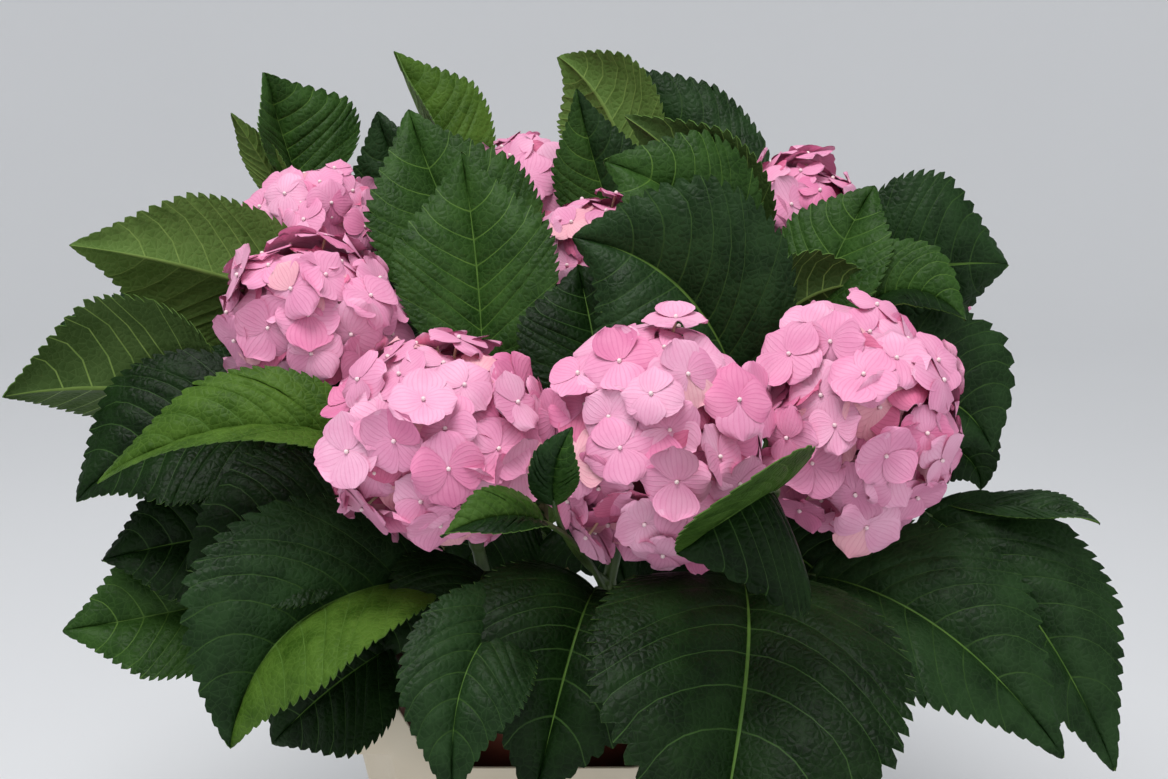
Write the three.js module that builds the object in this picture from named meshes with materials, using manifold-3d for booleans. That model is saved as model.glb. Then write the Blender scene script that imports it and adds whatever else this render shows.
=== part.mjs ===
// A potted hydrangea shrub: eleven canes rise from the soil of a round nursery pot that stands in
// a square cream planter. Each cane carries one shoot with opposite pairs of toothed leaves and
// ends in one round head of four-petalled florets.
// Millimetres, +Z up, origin at the middle of the planter's underside. The viewer's side is -Y.
import * as THREE from 'three';
import { mergeVertices } from 'three/addons/utils/BufferGeometryUtils.js';
import Module from 'manifold-3d';

const wasm = await Module();
wasm.setup();

// Touching pieces stay this far apart, and slivers under the finest edge are dropped.
const GAP = 0.3;
const FINEST_EDGE = 0.02;

// Cutting blocks reach this far past the faces that they cut.
const OVERRUN = 20;

// Planter: a tapered square tub with a deep notch in the rim of each side.
const PLANTER_HEIGHT = 200;
const PLANTER_TOP_HALF = 120;
const PLANTER_FOOT_HALF = 85;
const PLANTER_WALL = 3;
const PLANTER_FLOOR = 3;
const CORNER_CUT = 22;
const CORNER_CUT_TOP = 167;
const NOTCH_TOP_HALF = 88;
const NOTCH_FOOT_HALF = 66;
const NOTCH_BOTTOM = 158;
const NOTCH_ROUND = 14;

// Nursery pot: the round pot that the plant grew in, and its soil.
const POT_FOOT_RADIUS = 72;
const POT_NECK_RADIUS = 103;
const POT_TOP_RADIUS = 104;
const POT_RIM_RADIUS = 107;
const POT_RIM_DEPTH = 14;
const POT_WALL = 2;
const POT_TOP = 197;
const POT_SIDES = 24;
const SOIL_TOP = 178;
const SOIL_CROWN = 4;
const SOIL_SHOULDER = 8;
const SOIL_CLEAR = 0.6;

// Canes and shoots. Each row is one cane: where its foot stands on the soil, the middle of the
// flower head that it carries, the head's radius, and how tall that head is for its width.
const SHOOTS = {
  west: { foot: [-45, -15], head: [-140, -70, 428], radius: 56, tall: 0.9 },
  front_left: { foot: [-25, -50], head: [-56, -150, 368], radius: 66, tall: 0.92 },
  front: { foot: [25, -55], head: [63, -165, 368], radius: 64, tall: 1.15 },
  front_right: { foot: [62, -35], head: [180, -125, 375], radius: 62, tall: 1.12 },
  east: { foot: [50, 10], head: [160, 40, 471], radius: 54, tall: 0.95 },
  middle: { foot: [5, 0], head: [35, 14, 452], radius: 47, tall: 1.0 },
  north: { foot: [-5, 50], head: [-8, 125, 486], radius: 52, tall: 0.95 },
  north_west: { foot: [-50, 35], head: [-153, 62, 468], radius: 47, tall: 0.95 },
  far_east: { foot: [78, 20], head: [236, 62, 421], radius: 50, tall: 0.95 },
  back_right: { foot: [45, 65], head: [112, 195, 425], radius: 56, tall: 0.95 },
  back_left: { foot: [-35, 75], head: [-78, 200, 430], radius: 56, tall: 0.95 },
};

// A stem bends at a knee part of the way out and up to its head. It ends inside the head, this
// share of the head's half height below its middle.
const KNEE_OUT = 0.42;
const KNEE_UP = 0.62;
const HEAD_SEAT = 0.6;
const CANE_FOOT_RADIUS = 7.5;
const CANE_RADIUS = 5.2;
const SHOOT_RADIUS = 4.6;
const SHOOT_TIP_RADIUS = 3.2;
const FLOWER_STEM_RADII = [3.2, 2.9, 2.6];
const CANE_END = 0.3;
const CANE_STEPS = 4;
const SHOOT_END = 0.86;
const SHOOT_STEPS = 5;
const STEM_SIDES = 6;

// Leaves. A stalk joins each blade to its shoot. The blade is fullest a little below its middle
// and narrows to a drawn-out tip over the last part of its length.
const BLADE_STATIONS = [0.18, 0.45, 0.75];
const BLADE_SHIFT = 0.86;
const BLADE_FULLNESS = 0.62;
const TIP_START = 0.62;
const TIP_NARROWING = 0.42;
const BLADE_THICKNESS = 2.4;
const BLADE_THICKNESS_SHARE = 0.02;
const STALK_RADIUS = 2.1;
const STALK_TIP_RADIUS = 1.6;
const STALK_STATIONS = [0, 0.55, 1];

// The leaves that face the viewer, one a row: the shoot and the share of its stem where the leaf
// stands, the bend and the tip of its midrib, its width, the heading and the rise of the way its
// upper side faces, how far its left and right halves fold up, and the stalk's share of the midrib.
// A heading of 0 is towards the viewer, 90 to the right and 180 away.
const SHOWN_LEAVES = [
  ['north_west', 0.5, [-185, 165, 470], [-201, 135, 573], 108, [15, 25], [62, 5], 0.6],
  ['north_west', 0.48, [-178, 140, 472], [-216, 88, 545], 24, [180, 0], [5, 5], 0.6],
  ['north_west', 0.75, [-199, -10, 452], [-292, -40, 467], 94, [180, 15], [30, 0], 0.15],
  ['north_west', 0.45, [-250, 75, 405], [-334, 70, 402], 80, [-10, 60], [12, 12], 0.4],
  ['north', 0.55, [-88, 100, 440], [-118, 100, 546], 92, [-20, 15], [12, 12], 0.4],
  ['north', 0.6, [-80, 175, 500], [-113, 165, 588], 92, [10, 35], [80, 10], 0.45],
  ['middle', 0.65, [-60, 25, 445], [-92, 55, 548], 112, [10, 20], [12, 12], 0.3],
  ['middle', 0.36, [-24, -30, 322], [-58, -34, 250], 92, [0, 20], [8, 8], 0.3],
  ['middle', 0.38, [30, -29, 320], [52, -32, 246], 92, [0, 20], [8, 8], 0.3],
  ['west', 0.5, [-220, -15, 390], [-330, -65, 377], 118, [180, 10], [0, 50], 0.45],
  ['west', 0.6, [-215, -65, 390], [-282, -85, 316], 105, [-20, 35], [12, 12], 0.3],
  ['west', 0.4, [-190, -50, 295], [-273, -70, 275], 88, [-15, 35], [12, 12], 0.4],
  ['west', 0.36, [-190, -50, 240], [-298, -75, 232], 90, [-15, 30], [12, 12], 0.45],
  ['front_left', 0.62, [-30, -55, 400], [-52, -20, 523], 98, [0, 15], [12, 12], 0.45],
  ['front_left', 0.6, [-121, -152, 425], [-250, -150, 343], 68, [-10, 40], [45, 10], 0.34],
  ['front_left', 0.4, [-140, -115, 330], [-205, -135, 287], 115, [-10, 50], [12, 12], 0.35],
  ['front_left', 0.45, [-155, -180, 303], [-172, -190, 202], 128, [25, 22], [64, 4], 0.14],
  ['front_left', 0.36, [-110, -140, 240], [-158, -140, 184], 90, [0, 40], [12, 12], 0.4],
  ['front_left', 0.4, [-32, -140, 312], [-48, -150, 228], 96, [0, 25], [12, 12], 0.3],
  ['front_left', 0.36, [-70, -110, 296], [-104, -118, 226], 80, [0, 30], [12, 12], 0.3],
  ['front', 0.7, [35, -80, 400], [20, -45, 455], 88, [0, 20], [12, 12], 0.4],
  ['front', 0.4, [-54, -240, 316], [-44, -246, 192], 68, [0, 20], [8, 14], 0.32],
  ['front', 0.36, [30, -204, 332], [-4, -224, 180], 118, [0, 25], [12, 12], 0.3],
  ['front', 0.34, [66, -138, 318], [88, -154, 236], 88, [0, 25], [12, 12], 0.35],
  ['front', 0.4, [10, -262, 376], [-48, -250, 338], 31, [0, 25], [50, 0], 0.5],
  ['front', 0.45, [-10, -250, 350], [18, -235, 392], 26, [0, 10], [12, 12], 0.55],
  ['front_right', 0.45, [132, -220, 330], [82, -300, 155], 165, [5, 35], [12, 12], 0.3],
  ['front_right', 0.5, [158, -285, 407], [72, -235, 326], 118, [0, 15], [0, 78], 0.58],
  ['front_right', 0.36, [200, -150, 320], [290, -190, 196], 110, [5, 45], [12, 12], 0.3],
  ['front_right', 0.4, [152, -104, 325], [188, -120, 236], 98, [0, 25], [12, 12], 0.3],
  ['front_right', 0.7, [120, -80, 460], [17, -65, 474], 130, [-5, 10], [12, 12], 0.3],
  ['front_right', 0.6, [165, -40, 445], [205, -20, 502], 75, [-30, 20], [12, 12], 0.4],
  ['front_right', 0.5, [105, -50, 450], [205, -54, 445], 60, [180, 20], [0, 0], 0.5],
  ['front_right', 0.65, [190, -40, 490], [252, -75, 425], 60, [0, 50], [30, 30], 0.5],
  ['front_right', 0.6, [240, -45, 425], [275, -60, 342], 105, [15, 15], [12, 12], 0.4],
  ['east', 0.75, [135, -45, 490], [49, -10, 545], 75, [180, 30], [0, 0], 0.3],
  ['east', 0.7, [125, -65, 495], [36, -40, 518], 88, [0, 25], [12, 12], 0.35],
  ['east', 0.6, [45, 85, 435], [19, 78, 562], 62, [0, 10], [12, 12], 0.5],
  ['east', 0.6, [182, 150, 484], [30, 155, 580], 88, [0, 30], [12, 12], 0.4],
  ['east', 0.8, [215, -30, 460], [291, -15, 453], 115, [5, 10], [0, -35], 0.4],
  ['east', 0.7, [150, 130, 430], [182, 110, 520], 85, [0, 20], [12, 12], 0.4],
  ['far_east', 0.5, [275, -60, 335], [345, -110, 155], 108, [10, 40], [12, 12], 0.4],
  ['far_east', 0.4, [309, -50, 311], [339, -75, 300], 34, [0, 75], [12, 12], 0.4],
  ['far_east', 0.6, [284, 0, 352], [283, 0, 303], 52, [15, 20], [12, 12], 0.35],
  ['back_right', 0.6, [75, 105, 540], [6, 140, 584], 75, [180, 30], [0, 0], 0.5],
];

// The other leaves stand in opposite pairs, each pair turned a quarter from the one below it.
const PAIR_LEVELS = [0.34, 0.41, 0.48, 0.56, 0.64, 0.72, 0.8];
const FIRST_TURN = 45;
const PAIR_TURN = 90;
const TRIES = 16;
const SWING = 30;
const SWING_PER_TRY = 8;
const LEAF_LENGTH = [105, 155];
const SHORTEST = 0.62;
const KNEE_REACH = 0.6;
const KNEE_LIFT = [0.2, 0.75];
const KNEE_CHANCE = 0.3;
const TIP_REACH = 1.15;
const TIP_LIFT = [-0.55, 0.75];
const TIP_CHANCE = 0.5;
const FACE_LEAN = [-0.54, 0.36];
const LEAF_FOLD = [4, 24];
const LEAF_WIDTH_SHARE = 0.7;
const LEAF_STALK = [0.22, 0.34];
const LEAF_CLEAR = 1;
const VIEWER_SIDE = -30;
const REACH = { west: -320, east: 345, back: 330, top: 585, low: 165 };
const OVER_POT = 180;
const LOW_OVER_POT = 240;

// Flower heads: florets of four broad petals on a round core.
const FLORETS = 24;
const FLORETS_RADIUS = 62;
const FLORET_RADIUS = [17, 21];
const PETALS = 4;
const PETAL_CLEFT = 0.74;
const FLORET_ROOT = 0.58;
const FLORET_DISH = 3;
const FLORET_TILT = 16;
const FLORET_SWAY = 0.5;
const FLORET_SINK = 0.08;
const FLORET_CLEAR = 1.2;
const CORE_SHARE = 0.83;
const GOLDEN_ANGLE = Math.PI * (3 - Math.sqrt(5));
const UNDERSIDE = -0.72;

// Seeds: a leaf's and a floret's numbers are counted out in these steps, so that no two share one.
const HEAD_SEEDS = 1000;
const PAIR_SEEDS = 50000;
const LEVEL_SLOTS = 10;
const TRY_SLOTS = 20;
const SEED_STEP = 7919;
const SEED_START = 104729;
const CHANCE_STEP = 16807;
const CHANCE_RANGE = 2147483647;

const names = Object.keys(SHOOTS);
const radians = THREE.MathUtils.degToRad;
const vector = (x, y, z) => new THREE.Vector3(x, y, z);
const UP = vector(0, 0, 1);

// No stem and no floret runs along this direction, so their rings are laid out from it.
const ACROSS = vector(0.3, 0.5, 0.81);

// A solid from shared vertices and outward triangles.
function solidOf({ points, faces }) {
  const vertProperties = new Float32Array(points.flatMap((p) => [p.x, p.y, p.z]));
  const triVerts = new Uint32Array(faces.flat());
  return new wasm.Manifold(new wasm.Mesh({ numProp: 3, vertProperties, triVerts }));
}

// A solid from a closed three.js geometry.
function solidOfGeometry(source) {
  const bare = new THREE.BufferGeometry();
  bare.setAttribute('position', source.getAttribute('position').clone());
  if (source.index) bare.setIndex(source.index.clone());
  const merged = mergeVertices(bare, 1e-4);
  return new wasm.Manifold(new wasm.Mesh({
    numProp: 3,
    vertProperties: merged.getAttribute('position').array,
    triVerts: new Uint32Array(merged.index.array),
  }));
}

function shapeOf(solid) {
  const { vertProperties, triVerts } = solid.getMesh();
  const points = [];
  for (let i = 0; i < vertProperties.length; i += 3) {
    points.push(vector(...vertProperties.slice(i, i + 3)));
  }
  const faces = [];
  for (let i = 0; i < triVerts.length; i += 3) {
    faces.push([...triVerts.slice(i, i + 3)]);
  }
  return { points, faces };
}

function geometryOf(solid) {
  const { vertProperties, triVerts } = solid.getMesh();
  const geometry = new THREE.BufferGeometry();
  geometry.setAttribute('position', new THREE.BufferAttribute(new Float32Array(vertProperties), 3));
  geometry.setIndex(new THREE.BufferAttribute(new Uint32Array(triVerts), 1));
  geometry.computeVertexNormals();
  return geometry;
}

function fused(shapes) {
  const solids = shapes.map(solidOf);
  return wasm.Manifold.union(solids).simplify(FINEST_EDGE);
}

// Chances between 0 and 1 that are always the same for the same seed.
function chances(seed) {
  let state = (seed * SEED_STEP + SEED_START) % CHANCE_RANGE;
  return () => {
    state = (state * CHANCE_STEP) % CHANCE_RANGE;
    return state / CHANCE_RANGE;
  };
}

const between = ([low, high], share) => low + (high - low) * share;

// Stems

function stemOf(name) {
  const { foot, head, radius, tall } = SHOOTS[name];
  const top = vector(...head);
  const start = vector(foot[0], foot[1], SOIL_TOP + GAP);
  const knee = vector(
    start.x + KNEE_OUT * (top.x - start.x),
    start.y + KNEE_OUT * (top.y - start.y),
    start.z + KNEE_UP * (top.z - start.z),
  );
  const axis = top.clone().sub(knee).normalize();
  return { start, knee, axis, end: top.clone().addScaledVector(axis, -radius * tall * HEAD_SEAT) };
}

// A point on the curve from start to end that bends towards the knee.
function bend(start, knee, end, share) {
  const rest = 1 - share;
  return vector(0, 0, 0)
    .addScaledVector(start, rest * rest)
    .addScaledVector(knee, 2 * rest * share)
    .addScaledVector(end, share * share);
}

function bendWay(start, knee, end, share) {
  return vector(0, 0, 0)
    .addScaledVector(knee.clone().sub(start), 2 * (1 - share))
    .addScaledVector(end.clone().sub(knee), 2 * share)
    .normalize();
}

function stemPoint(name, share) {
  const { start, knee, end } = stemOf(name);
  return bend(start, knee, end, share);
}

// A closed many-sided rod through points, with a radius at each. ways gives its end directions.
function rod(points, radii, sides, ways = []) {
  const shape = { points: [], faces: [] };
  const last = points.length - 1;
  points.forEach((point, i) => {
    const along = ways[i] ?? points[Math.min(i + 1, last)].clone().sub(points[Math.max(i - 1, 0)]);
    const way = along.clone().normalize();
    const side = way.clone().cross(ACROSS).normalize();
    const other = way.clone().cross(side);
    for (let k = 0; k < sides; k++) {
      const turn = (2 * Math.PI * k) / sides;
      shape.points.push(point.clone()
        .addScaledVector(side, Math.cos(turn) * radii[i])
        .addScaledVector(other, Math.sin(turn) * radii[i]));
    }
  });
  for (let i = 0; i < last; i++) {
    for (let k = 0; k < sides; k++) {
      const next = (k + 1) % sides;
      const low = i * sides;
      const high = low + sides;
      shape.faces.push([low + k, low + next, high + next], [low + k, high + next, high + k]);
    }
  }
  for (let k = 1; k < sides - 1; k++) {
    const top = last * sides;
    shape.faces.push([0, k + 1, k], [top, top + k, top + k + 1]);
  }
  return shape;
}

// A rod along a stem between two shares. A rod that starts on the soil has a level foot.
function stemRod(name, from, to, radii, steps) {
  const { start, knee, end } = stemOf(name);
  const shares = Array.from({ length: steps + 1 }, (_, i) => from + ((to - from) * i) / steps);
  const points = shares.map((share) => bend(start, knee, end, share));
  const ways = from === 0 ? [UP] : [];
  return rod(points, shares.map((_, i) => between(radii, i / steps)), STEM_SIDES, ways);
}

// The share of a stem a short distance beyond another share.
function shifted(share, name, distance) {
  const { start, knee, end } = stemOf(name);
  const length = 2 * (1 - share) * knee.distanceTo(start) + 2 * share * end.distanceTo(knee);
  return share + distance / length;
}

// The cane flares at its foot, which is cut flat on the soil.
function cane(name) {
  const shape = stemRod(name, 0, CANE_END, [CANE_RADIUS, SHOOT_RADIUS], CANE_STEPS);
  const foot = stemPoint(name, 0);
  for (let k = 0; k < STEM_SIDES; k++) {
    shape.points[k].sub(foot).multiplyScalar(CANE_FOOT_RADIUS / CANE_RADIUS).add(foot);
  }
  return shape;
}

function shootStem(name) {
  const from = shifted(CANE_END, name, GAP);
  return stemRod(name, from, SHOOT_END, [SHOOT_RADIUS, SHOOT_TIP_RADIUS], SHOOT_STEPS);
}

// Leaves

// How wide the blade is at a share of its length, where its fullest is 1.
function halfWidth(share) {
  const body = Math.sin(Math.PI * share ** BLADE_SHIFT) ** BLADE_FULLNESS;
  return body * (1 - TIP_NARROWING * Math.max(0, (share - TIP_START) / (1 - TIP_START)));
}

// A unit vector by heading and rise, both in degrees.
function headingVector(heading, rise) {
  const flat = Math.cos(radians(rise));
  return vector(
    Math.sin(radians(heading)) * flat,
    -Math.cos(radians(heading)) * flat,
    Math.sin(radians(rise)),
  );
}

function shownLeaf([shoot, share, knee, tip, width, face, folds, stalk]) {
  return {
    shoot,
    start: stemPoint(shoot, share),
    knee: vector(...knee),
    tip: vector(...tip),
    face: headingVector(...face),
    width,
    folds,
    stalk,
  };
}

// The frame of a leaf at a share of its midrib: the point, the way on, the upper side, the right.
function leafFrame(leaf, share) {
  const point = bend(leaf.start, leaf.knee, leaf.tip, share);
  const way = bendWay(leaf.start, leaf.knee, leaf.tip, share);
  const upper = leaf.face.clone().addScaledVector(way, -leaf.face.dot(way)).normalize();
  return { point, way, upper, right: way.clone().cross(upper) };
}

// A leaf is one loft of four-cornered rings: a slim stalk, then a thin lens of a blade whose
// halves fold up along the midrib. It is made larger all round by grow, and leaves out the first
// rings that skip counts.
function leafShape(leaf, grow = 0, skip = 0) {
  const base = leafFrame(leaf, leaf.stalk);
  const tip = leafFrame(leaf, 1);
  const length = tip.point.distanceTo(base.point);
  const thick = Math.max(BLADE_THICKNESS, BLADE_THICKNESS_SHARE * length) / 2 + grow;
  const folds = leaf.folds.map(radians);
  const rings = [
    ...STALK_STATIONS.map((share) => {
      const radius = between([STALK_RADIUS, STALK_TIP_RADIUS], share) + grow;
      return ring(leafFrame(leaf, leaf.stalk * share), radius, radius, [0, 0]);
    }),
    ...BLADE_STATIONS.map((share) => {
      const half = (leaf.width / 2) * halfWidth(share) + grow;
      return ring(leafFrame(leaf, leaf.stalk + (1 - leaf.stalk) * share), half, thick, folds);
    }),
  ].slice(skip);
  const points = [...rings.flat(), tip.point.clone().addScaledVector(tip.way, grow)];
  const last = points.length - 1;
  const faces = [[0, 3, 2], [0, 2, 1]];
  for (let corner = 0; corner < 4; corner++) {
    const next = (corner + 1) % 4;
    for (let k = 0; k < rings.length - 1; k++) {
      const low = 4 * k;
      const high = low + 4;
      faces.push([low + corner, low + next, high + next], [low + corner, high + next, high + corner]);
    }
    const top = 4 * (rings.length - 1);
    faces.push([last, top + corner, top + next]);
  }
  return { points, faces };
}

// Left edge, upper side, right edge and lower side of a leaf at one share of its midrib.
function ring({ point, upper, right }, half, thick, [foldLeft, foldRight]) {
  return [
    point.clone()
      .addScaledVector(right, -half * Math.cos(foldLeft))
      .addScaledVector(upper, half * Math.sin(foldLeft)),
    point.clone().addScaledVector(upper, thick),
    point.clone()
      .addScaledVector(right, half * Math.cos(foldRight))
      .addScaledVector(upper, half * Math.sin(foldRight)),
    point.clone().addScaledVector(upper, -thick),
  ];
}

// Crossing tests

// A shape ready for crossing tests, with its edges and its box.
function probe({ points, faces }) {
  const seen = new Map();
  for (const face of faces) {
    face.forEach((a, i) => {
      const b = face[(i + 1) % 3];
      seen.set(Math.min(a, b) * points.length + Math.max(a, b), [a, b]);
    });
  }
  return { points, faces, edges: [...seen.values()], box: new THREE.Box3().setFromPoints(points) };
}

const ray = new THREE.Ray();
const hit = new THREE.Vector3();

function edgesMeetFaces(one, other) {
  return one.edges.some(([a, b]) => {
    const from = one.points[a];
    const reach = one.points[b].clone().sub(from);
    const length = reach.length();
    ray.set(from, reach.normalize());
    return other.faces.some(([i, j, k]) => {
      const met = ray.intersectTriangle(other.points[i], other.points[j], other.points[k], false, hit);
      return met !== null && hit.distanceTo(from) <= length;
    });
  });
}

const crosses = (one, other) =>
  one.box.intersectsBox(other.box) && (edgesMeetFaces(one, other) || edgesMeetFaces(other, one));

// Flower heads

function headFrame(name) {
  const { head, radius, tall } = SHOOTS[name];
  const { axis } = stemOf(name);
  return { middle: vector(...head), radius, tall, axis };
}

// The core is an egg stretched along Z.
function coreShape(name) {
  const { middle, radius, tall } = headFrame(name);
  const size = radius * CORE_SHARE;
  const ball = solidOfGeometry(new THREE.IcosahedronGeometry(1, 0));
  const { points, faces } = shapeOf(ball);
  const stretched = points.map((p) => vector(p.x * size, p.y * size, p.z * size * tall).add(middle));
  return { points: stretched, faces };
}

const floretCount = (name) => Math.round(FLORETS * (SHOOTS[name].radius / FLORETS_RADIUS) ** 2);

// One floret: a funnel with a four-lobed rim that faces outwards and a root inside the core.
function floretPlace(name, index) {
  const { middle, radius, tall } = headFrame(name);
  const chance = chances(names.indexOf(name) * HEAD_SEEDS + index + 1);
  const height = 1 - (2 * index + 1) / floretCount(name);
  const turn = index * GOLDEN_ANGLE + chance() * FLORET_SWAY;
  const flat = Math.sqrt(1 - height * height);
  const out = vector(flat * Math.cos(turn), flat * Math.sin(turn), height);
  const size = between(FLORET_RADIUS, chance());
  const depth = 1 - FLORET_SINK * chance();
  const point = vector(out.x * radius, out.y * radius, out.z * radius * tall)
    .multiplyScalar(depth)
    .add(middle);
  const tilt = vector(chance() - 0.5, chance() - 0.5, chance() - 0.5)
    .multiplyScalar(2 * Math.tan(radians(FLORET_TILT)));
  const way = out.clone().add(tilt).normalize();
  const root = point.clone().sub(middle).multiplyScalar(FLORET_ROOT).add(middle);
  return { point, root, out, way, size, spin: chance() * Math.PI * 2 };
}

function floretShape({ point, root, way, size, spin }, grow = 0) {
  const side = way.clone().cross(ACROSS).normalize();
  const other = way.clone().cross(side);
  const points = [
    point.clone().addScaledVector(way, -FLORET_DISH + grow),
    root,
  ];
  const corners = 2 * PETALS;
  for (let k = 0; k < corners; k++) {
    const turn = spin + (2 * Math.PI * k) / corners;
    const reach = (k % 2 ? size * PETAL_CLEFT : size) + grow;
    points.push(point.clone()
      .addScaledVector(side, Math.cos(turn) * reach)
      .addScaledVector(other, Math.sin(turn) * reach));
  }
  const faces = [];
  for (let k = 0; k < corners; k++) {
    const next = (k + 1) % corners;
    faces.push([0, 2 + k, 2 + next], [1, 2 + next, 2 + k]);
  }
  return { points, faces };
}

// The flower stem goes on from the shoot's end to the middle of the core.
function flowerStem(name) {
  const { start, knee, end } = stemOf(name);
  const { middle } = headFrame(name);
  const from = bend(start, knee, end, shifted(SHOOT_END, name, GAP));
  return rod([from, end, middle], FLOWER_STEM_RADII, STEM_SIDES);
}

// Growing the plant

// Everything placed so far, as probes with the node that they belong to.
const placed = [];
const place = (node, shape) => placed.push({ node, probe: probe(shape) });
const isFree = (node, shape) => {
  const own = probe(shape);
  return !placed.some((other) => other.node !== node && crosses(own, other.probe));
};

// Leaves of one shoot meet only at its stem, which is the first shape placed for its node.
const isClearOfLeaves = (node, shape) => {
  const own = probe(shape);
  const [, ...leavesPlaced] = placed.filter((other) => other.node === node);
  return !leavesPlaced.some((other) => crosses(own, other.probe));
};

const leafNode = (name) => `leaves_${name}`;
const headNode = (name) => `flower_head_${name}`;

// The florets of a head, without those round its stem and those that would touch a leaf.
function florets(name) {
  const { axis } = stemOf(name);
  const kept = [];
  for (let index = 0; index < floretCount(name); index++) {
    const floret = floretPlace(name, index);
    const fits = floret.out.dot(axis) > UNDERSIDE
      && isFree(headNode(name), floretShape(floret, FLORET_CLEAR));
    if (!fits) continue;
    const shape = floretShape(floret);
    place(headNode(name), shape);
    kept.push(shape);
  }
  return kept;
}

// A leaf of an opposite pair, reaching out from its shoot and arching over. Low leaves droop and
// the highest stand up round the flower head. A later attempt is shorter and turned further.
function pairLeaf(name, level, side, attempt) {
  const order = names.indexOf(name);
  const slot = (order * LEVEL_SLOTS + level) * 2 + side;
  const chance = chances(PAIR_SEEDS + slot * TRY_SLOTS + attempt);
  const { foot, head } = SHOOTS[name];
  const lean = Math.atan2(head[0] - foot[0], foot[1] - head[1]) * THREE.MathUtils.RAD2DEG;
  const swing = (chance() - 0.5) * (SWING + SWING_PER_TRY * attempt);
  const heading = lean + FIRST_TURN + PAIR_TURN * level + 180 * side + swing;
  const length = between(LEAF_LENGTH, chance()) * between([1, SHORTEST], attempt / TRIES);
  const height = level / (PAIR_LEVELS.length - 1);
  const out = headingVector(heading, 0);
  const start = stemPoint(name, PAIR_LEVELS[level]);
  const knee = start.clone()
    .addScaledVector(out, length * KNEE_REACH)
    .addScaledVector(UP, length * (between(KNEE_LIFT, height) + KNEE_CHANCE * (chance() - 0.5)));
  const tip = start.clone()
    .addScaledVector(out, length * TIP_REACH)
    .addScaledVector(UP, length * (between(TIP_LIFT, height) + TIP_CHANCE * (chance() - 0.5)));
  const face = UP.clone().addScaledVector(out, between(FACE_LEAN, chance())).normalize();
  const fold = between(LEAF_FOLD, chance());
  return {
    shoot: name,
    start,
    knee,
    tip,
    face,
    width: length * LEAF_WIDTH_SHARE,
    folds: [fold, fold],
    stalk: between(LEAF_STALK, chance()),
  };
}

// The hidden leaves stay behind the shown ones, within the shrub's outline and clear of the
// planter's rim.
function withinReach({ points }) {
  return points.every((p) => {
    const low = Math.hypot(p.x, p.y) < OVER_POT ? LOW_OVER_POT : REACH.low;
    return p.x > REACH.west && p.x < REACH.east && p.y < REACH.back && p.z < REACH.top && p.z > low;
  });
}

function pairLeaves(name) {
  const kept = [];
  PAIR_LEVELS.forEach((_, level) => {
    for (const side of [0, 1]) {
      for (let attempt = 0; attempt < TRIES; attempt++) {
        const leaf = pairLeaf(name, level, side, attempt);
        const grown = leafShape(leaf, LEAF_CLEAR);
        const fits = leaf.tip.y > VIEWER_SIDE && withinReach(grown)
          && isFree(leafNode(name), grown)
          && isClearOfLeaves(leafNode(name), leafShape(leaf, LEAF_CLEAR, STALK_STATIONS.length - 1));
        if (!fits) continue;
        place(leafNode(name), leafShape(leaf));
        kept.push(leaf);
        break;
      }
    }
  });
  return kept;
}

// Planter, nursery pot and soil

const planterHalf = (z) => PLANTER_FOOT_HALF
  + ((PLANTER_TOP_HALF - PLANTER_FOOT_HALF) * z) / PLANTER_HEIGHT;

// A tapered tub block between two heights, inset from the outer faces, with its corners cut.
function tubBlock(low, high, inset, cut) {
  const corners = (z) => {
    const half = planterHalf(z) - inset;
    const near = half - cut;
    const quarter = cut > 0 ? [[half, near], [near, half]] : [[half, half]];
    const turns = [([x, y]) => [x, y], ([x, y]) => [-y, x], ([x, y]) => [-x, -y], ([x, y]) => [y, -x]];
    return turns.flatMap((turn) => quarter.map(turn)).map(([x, y]) => vector(x, y, z));
  };
  const points = [...corners(low), ...corners(high)];
  const sides = points.length / 2;
  const faces = [];
  for (let k = 0; k < sides; k++) {
    const next = (k + 1) % sides;
    faces.push([k, next, sides + next], [k, sides + next, sides + k]);
  }
  for (let k = 1; k < sides - 1; k++) {
    faces.push([0, k + 1, k], [sides, sides + k, sides + k + 1]);
  }
  return solidOf({ points, faces });
}

// The outline of a rim notch, wide at the top and rounded at its lower corners.
function notchCutter() {
  const slope = (NOTCH_TOP_HALF - NOTCH_FOOT_HALF) / (PLANTER_HEIGHT - NOTCH_BOTTOM);
  const top = NOTCH_TOP_HALF + slope * OVERRUN;
  const shape = new THREE.Shape();
  shape.moveTo(-top, PLANTER_HEIGHT + OVERRUN);
  shape.lineTo(-NOTCH_FOOT_HALF - slope * NOTCH_ROUND, NOTCH_BOTTOM + NOTCH_ROUND);
  shape.quadraticCurveTo(-NOTCH_FOOT_HALF, NOTCH_BOTTOM, -NOTCH_FOOT_HALF + NOTCH_ROUND, NOTCH_BOTTOM);
  shape.lineTo(NOTCH_FOOT_HALF - NOTCH_ROUND, NOTCH_BOTTOM);
  shape.quadraticCurveTo(NOTCH_FOOT_HALF, NOTCH_BOTTOM,
    NOTCH_FOOT_HALF + slope * NOTCH_ROUND, NOTCH_BOTTOM + NOTCH_ROUND);
  shape.lineTo(top, PLANTER_HEIGHT + OVERRUN);
  shape.closePath();
  const depth = 2 * (PLANTER_TOP_HALF + OVERRUN);
  const block = new THREE.ExtrudeGeometry(shape, { depth, bevelEnabled: false, curveSegments: 5 });
  block.translate(0, 0, -depth / 2);
  block.rotateX(Math.PI / 2);
  return block;
}

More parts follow.
